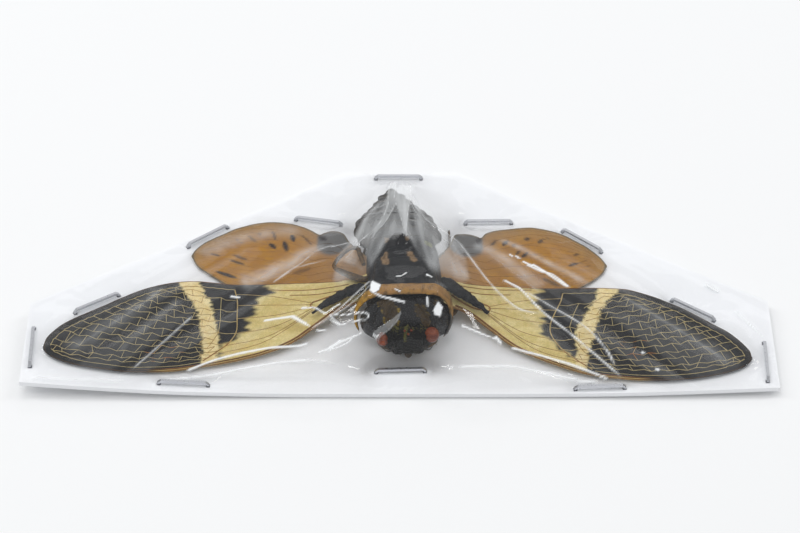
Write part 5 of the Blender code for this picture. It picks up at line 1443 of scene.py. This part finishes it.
# clear over the middle of the thorax and round the loose leg
thoraxHalf = np.interp(-flat[:, 1], [-3.0, -1.0, 4.0, 8.5], [0.3, 2.0, 4.4, 6.2])
away = np.abs(flat[:, 0] + 0.3) - thoraxHalf
clear = np.maximum(step(away, -0.4, 0.8), step(flat[:, 1], 2.0, 3.6))
nearLeg = np.minimum(lineDistance(flat, [(-11.0, -2.5), (-8.2, -5.4), (-5.1, -8.6)])[0],
                     lineDistance(flat, [(-7.7, 1.4), (-6.1, -5.7)])[0] + 0.3)
clear *= 0.25 + 0.75 * step(nearLeg, 0.7, 1.6)
hazeAndPaintedSheen = np.maximum(hazeAndPaintedSheen, tent * clear * np.clip(0.22 + 0.2 * streaks, 0.08, 0.45))
for pleat, strength in pleats:
    beside = lineDistance(flat, pleat + pleat[:1])[0]
    inside = np.where(insideOutline(flat, pleat), 1.0, step(beside, 0.3, 0.0))
    hazeAndPaintedSheen = np.maximum(hazeAndPaintedSheen, strength * inside * (1 + 0.4 * streaks))
shift += 0.12 * streaks * tent * clear
beside = lineDistance(flat, flap + flap[:1])[0]
inFlap = step(np.where(insideOutline(flat, flap), 0.0, beside), 0.15, 0.0)
hazeAndPaintedSheen = np.maximum(hazeAndPaintedSheen, 0.17 * inFlap)
shift += 0.2 * inFlap
# a thin white line along the flap's edge: crease whitening together with a painted highlight
white = np.maximum(white, 0.35 * np.exp(-(lineDistance(flat, flap[3:] + flap[:1])[0] / 0.1) ** 2))
shift *= 1 - pinned.ravel()
filmTop = np.maximum(low.ravel(), height.ravel() + shift)
filmTop = np.maximum(filmTop, filmBuild["base"])

film = bmesh.new()
bmesh.ops.create_grid(film, x_segments=len(xs) - 1, y_segments=len(ys) - 1, size=0.5)
p = getPoints(film)
i = np.rint((p[:, 0] + 0.5) * (len(xs) - 1)).astype(int)
j = np.rint((p[:, 1] + 0.5) * (len(ys) - 1)).astype(int)
place = np.stack([xs[i], ys[j], filmTop.reshape(len(ys), len(xs))[j, i]], 1)
# its front edge bends back towards the corners with the card's
past = np.maximum(0, np.abs(place[:, 0]) - card["bendFrom"]) / card["bendOver"]
bend = np.where(place[:, 0] < 0, card["bendLeft"], card["bendRight"]) * past ** card["bendPower"]
place[:, 1] += bend * np.clip((filmBuild["fineFront"] - place[:, 1]) / 3.25, 0, 1)
setPoints(film, place)
# white holds the crease whitening with painted highlights and glints, haze the milkiness with a painted sheen
for name, values in (("white", np.maximum(white, paintedGlare)), ("hazeAndPaintedSheen", hazeAndPaintedSheen)):
    layer = film.verts.layers.float.new(name)
    for v, value in zip(film.verts, values.reshape(len(ys), len(xs))[j, i]):
        v[layer] = value
# cut along the card's two long rear corners
for side, shoulder in zip((-1, 1), card["shoulders"]):
    along = Vector((side * (card["halfWidth"] - card["backHalf"]), shoulder - card["halfDepth"], 0))
    outward = Vector((-along.y, along.x, 0)).normalized() * side
    corner = Vector((side * card["backHalf"], card["halfDepth"], 0)) - outward * 0.2
    bmesh.ops.bisect_plane(film, geom=film.verts[:] + film.edges[:] + film.faces[:], plane_co=corner,
                           plane_no=outward, clear_outer=True)

filmSkin = bpy.data.materials.new("clear film")
filmSkin.use_nodes = True
tree = filmSkin.node_tree
tree.nodes.clear()
out = tree.nodes.new("ShaderNodeOutputMaterial")
clear = addNode(filmSkin, "BsdfTransparent")
gloss = addNode(filmSkin, "BsdfGlossy", Roughness=filmLook["roughness"])
gloss.inputs["Color"].default_value = (1, 1, 1, 1)
fresnel = addNode(filmSkin, "Fresnel", IOR=filmLook["ior"])
crinkle = addNode(filmSkin, "Bump")
crinkle.inputs["Strength"].default_value = 0.2
crinkle.inputs["Distance"].default_value = 0.0003
plug(filmSkin, noiseTexture(filmSkin, 0.3, 2, 0.4, stretch=(0.5, 1.4, 1), turn=0.6), crinkle.inputs["Height"])
for node in (gloss, fresnel):
    plug(filmSkin, crinkle.outputs["Normal"], node.inputs["Normal"])
amount = compute(filmSkin, "MULTIPLY", fresnel.outputs["Fac"], filmLook["sheen"])
sheen = addNode(filmSkin, "MixShader")
plug(filmSkin, amount, sheen.inputs["Fac"])
plug(filmSkin, clear.outputs["BSDF"], sheen.inputs[1])
plug(filmSkin, gloss.outputs["BSDF"], sheen.inputs[2])
hazy = addNode(filmSkin, "BsdfDiffuse")
hazy.inputs["Color"].default_value = (*filmLook["milkColour"], 1)
# painted highlights and painted sheen join the crease whitening and milkiness here, as white diffuse
milk = compute(filmSkin, "MAXIMUM", field(filmSkin, "white"), field(filmSkin, "hazeAndPaintedSheen"))
milk = compute(filmSkin, "MINIMUM", compute(filmSkin, "ADD", filmLook["milk"], milk), 1.0)
mixed = addNode(filmSkin, "MixShader")
plug(filmSkin, milk, mixed.inputs["Fac"])
plug(filmSkin, sheen.outputs["Shader"], mixed.inputs[1])
plug(filmSkin, hazy.outputs["BSDF"], mixed.inputs[2])
plug(filmSkin, mixed.outputs["Shader"], out.inputs["Surface"])
filmPiece = finishPiece("clear_film", film, filmSkin, ["film"])
print("film done,", len(filmPiece.data.polygons), "faces")


# card and staples keep their own shape

paper, shader = newMaterial("white card", Roughness=0.75, Specular_IOR_Level=0.25)
fibre = noiseTexture(paper, 2.5, 5, 0.65)
colour = mixColour(paper, spread(paper, fibre, 0.3, 0.7), (0.93, 0.94, 0.96), (0.90, 0.91, 0.93))
plug(paper, colour, shader.inputs["Base Color"])
addBump(paper, shader, fibre, 0.15, 0.03)
steel, shader = newMaterial("staple steel", Metallic=1.0, Roughness=0.32)
shader.inputs["Base Color"].default_value = (0.60, 0.61, 0.64, 1)
brushed = noiseTexture(steel, 3.0, 4, 0.6)
plug(steel, spread(steel, brushed, 0.3, 0.7, 0.22, 0.45), shader.inputs["Roughness"])
for name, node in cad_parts.items():
    if name == "card" or name.startswith("staple"):
        for slot in node.material_slots:
            slot.material = paper if name == "card" else steel


# floor, light, camera

bm = bmesh.new()
bmesh.ops.create_grid(bm, x_segments=1, y_segments=1, size=2.5)
bmesh.ops.translate(bm, verts=bm.verts, vec=(0, 0, -0.0002))
mesh = bpy.data.meshes.new("floor")
bm.to_mesh(mesh)
bm.free()
floor = bpy.data.objects.new("floor", mesh)
scene.collection.objects.link(floor)
floorSkin, shader = newMaterial("pale floor", Roughness=0.85, Specular_IOR_Level=0.1)
shader.inputs["Base Color"].default_value = (0.90, 0.905, 0.91, 1)
mesh.materials.append(floorSkin)

studio = {
    "world": 0.56,
    "lamps": [
        {"name": "overhead", "place": (-0.15, 0.05, 0.95), "size": (0.8, 0.6), "power": 3.2},
        {"name": "back", "place": (0.10, 0.80, 0.75), "size": (0.9, 0.25), "power": 0.6},
        {"name": "strip left", "place": (-0.55, 0.15, 0.55), "size": (0.06, 0.40), "power": 0.8},
        {"name": "strip right", "place": (0.50, 0.20, 0.60), "size": (0.06, 0.40), "power": 0.8},
    ],
}
world = bpy.data.worlds.new("studio")
scene.world = world
world.use_nodes = True
world.node_tree.nodes["Background"].inputs["Color"].default_value = (0.98, 0.99, 1.0, 1)
world.node_tree.nodes["Background"].inputs["Strength"].default_value = studio["world"]
for lamp in studio["lamps"]:
    light = bpy.data.lights.new(lamp["name"], "AREA")
    light.shape = "RECTANGLE"
    light.size, light.size_y = lamp["size"]
    light.energy = lamp["power"]
    holder = bpy.data.objects.new(lamp["name"], light)
    holder.location = lamp["place"]
    holder.rotation_euler = (-Vector(lamp["place"])).to_track_quat("-Z", "Y").to_euler()
    # the wide soft lamp above lights without a mirror image of itself in the film
    holder.visible_glossy = lamp["name"] != "overhead"
    scene.collection.objects.link(holder)

view = {"aim": (0, 0.0027, 0.0016), "tilt": 48.63, "distance": 0.416, "lens": 99}
aim, tilt = Vector(view["aim"]), math.radians(view["tilt"])
camera = bpy.data.objects.new("camera", bpy.data.cameras.new("camera"))
camera.data.lens = view["lens"]
camera.data.sensor_width = 36
camera.data.clip_start = 0.01
camera.location = aim + Vector((0, -math.cos(tilt), math.sin(tilt))) * view["distance"]
camera.rotation_euler = (aim - camera.location).to_track_quat("-Z", "Y").to_euler()
scene.collection.objects.link(camera)
scene.camera = camera
scene.view_settings.view_transform = "Standard"
print("stage done")
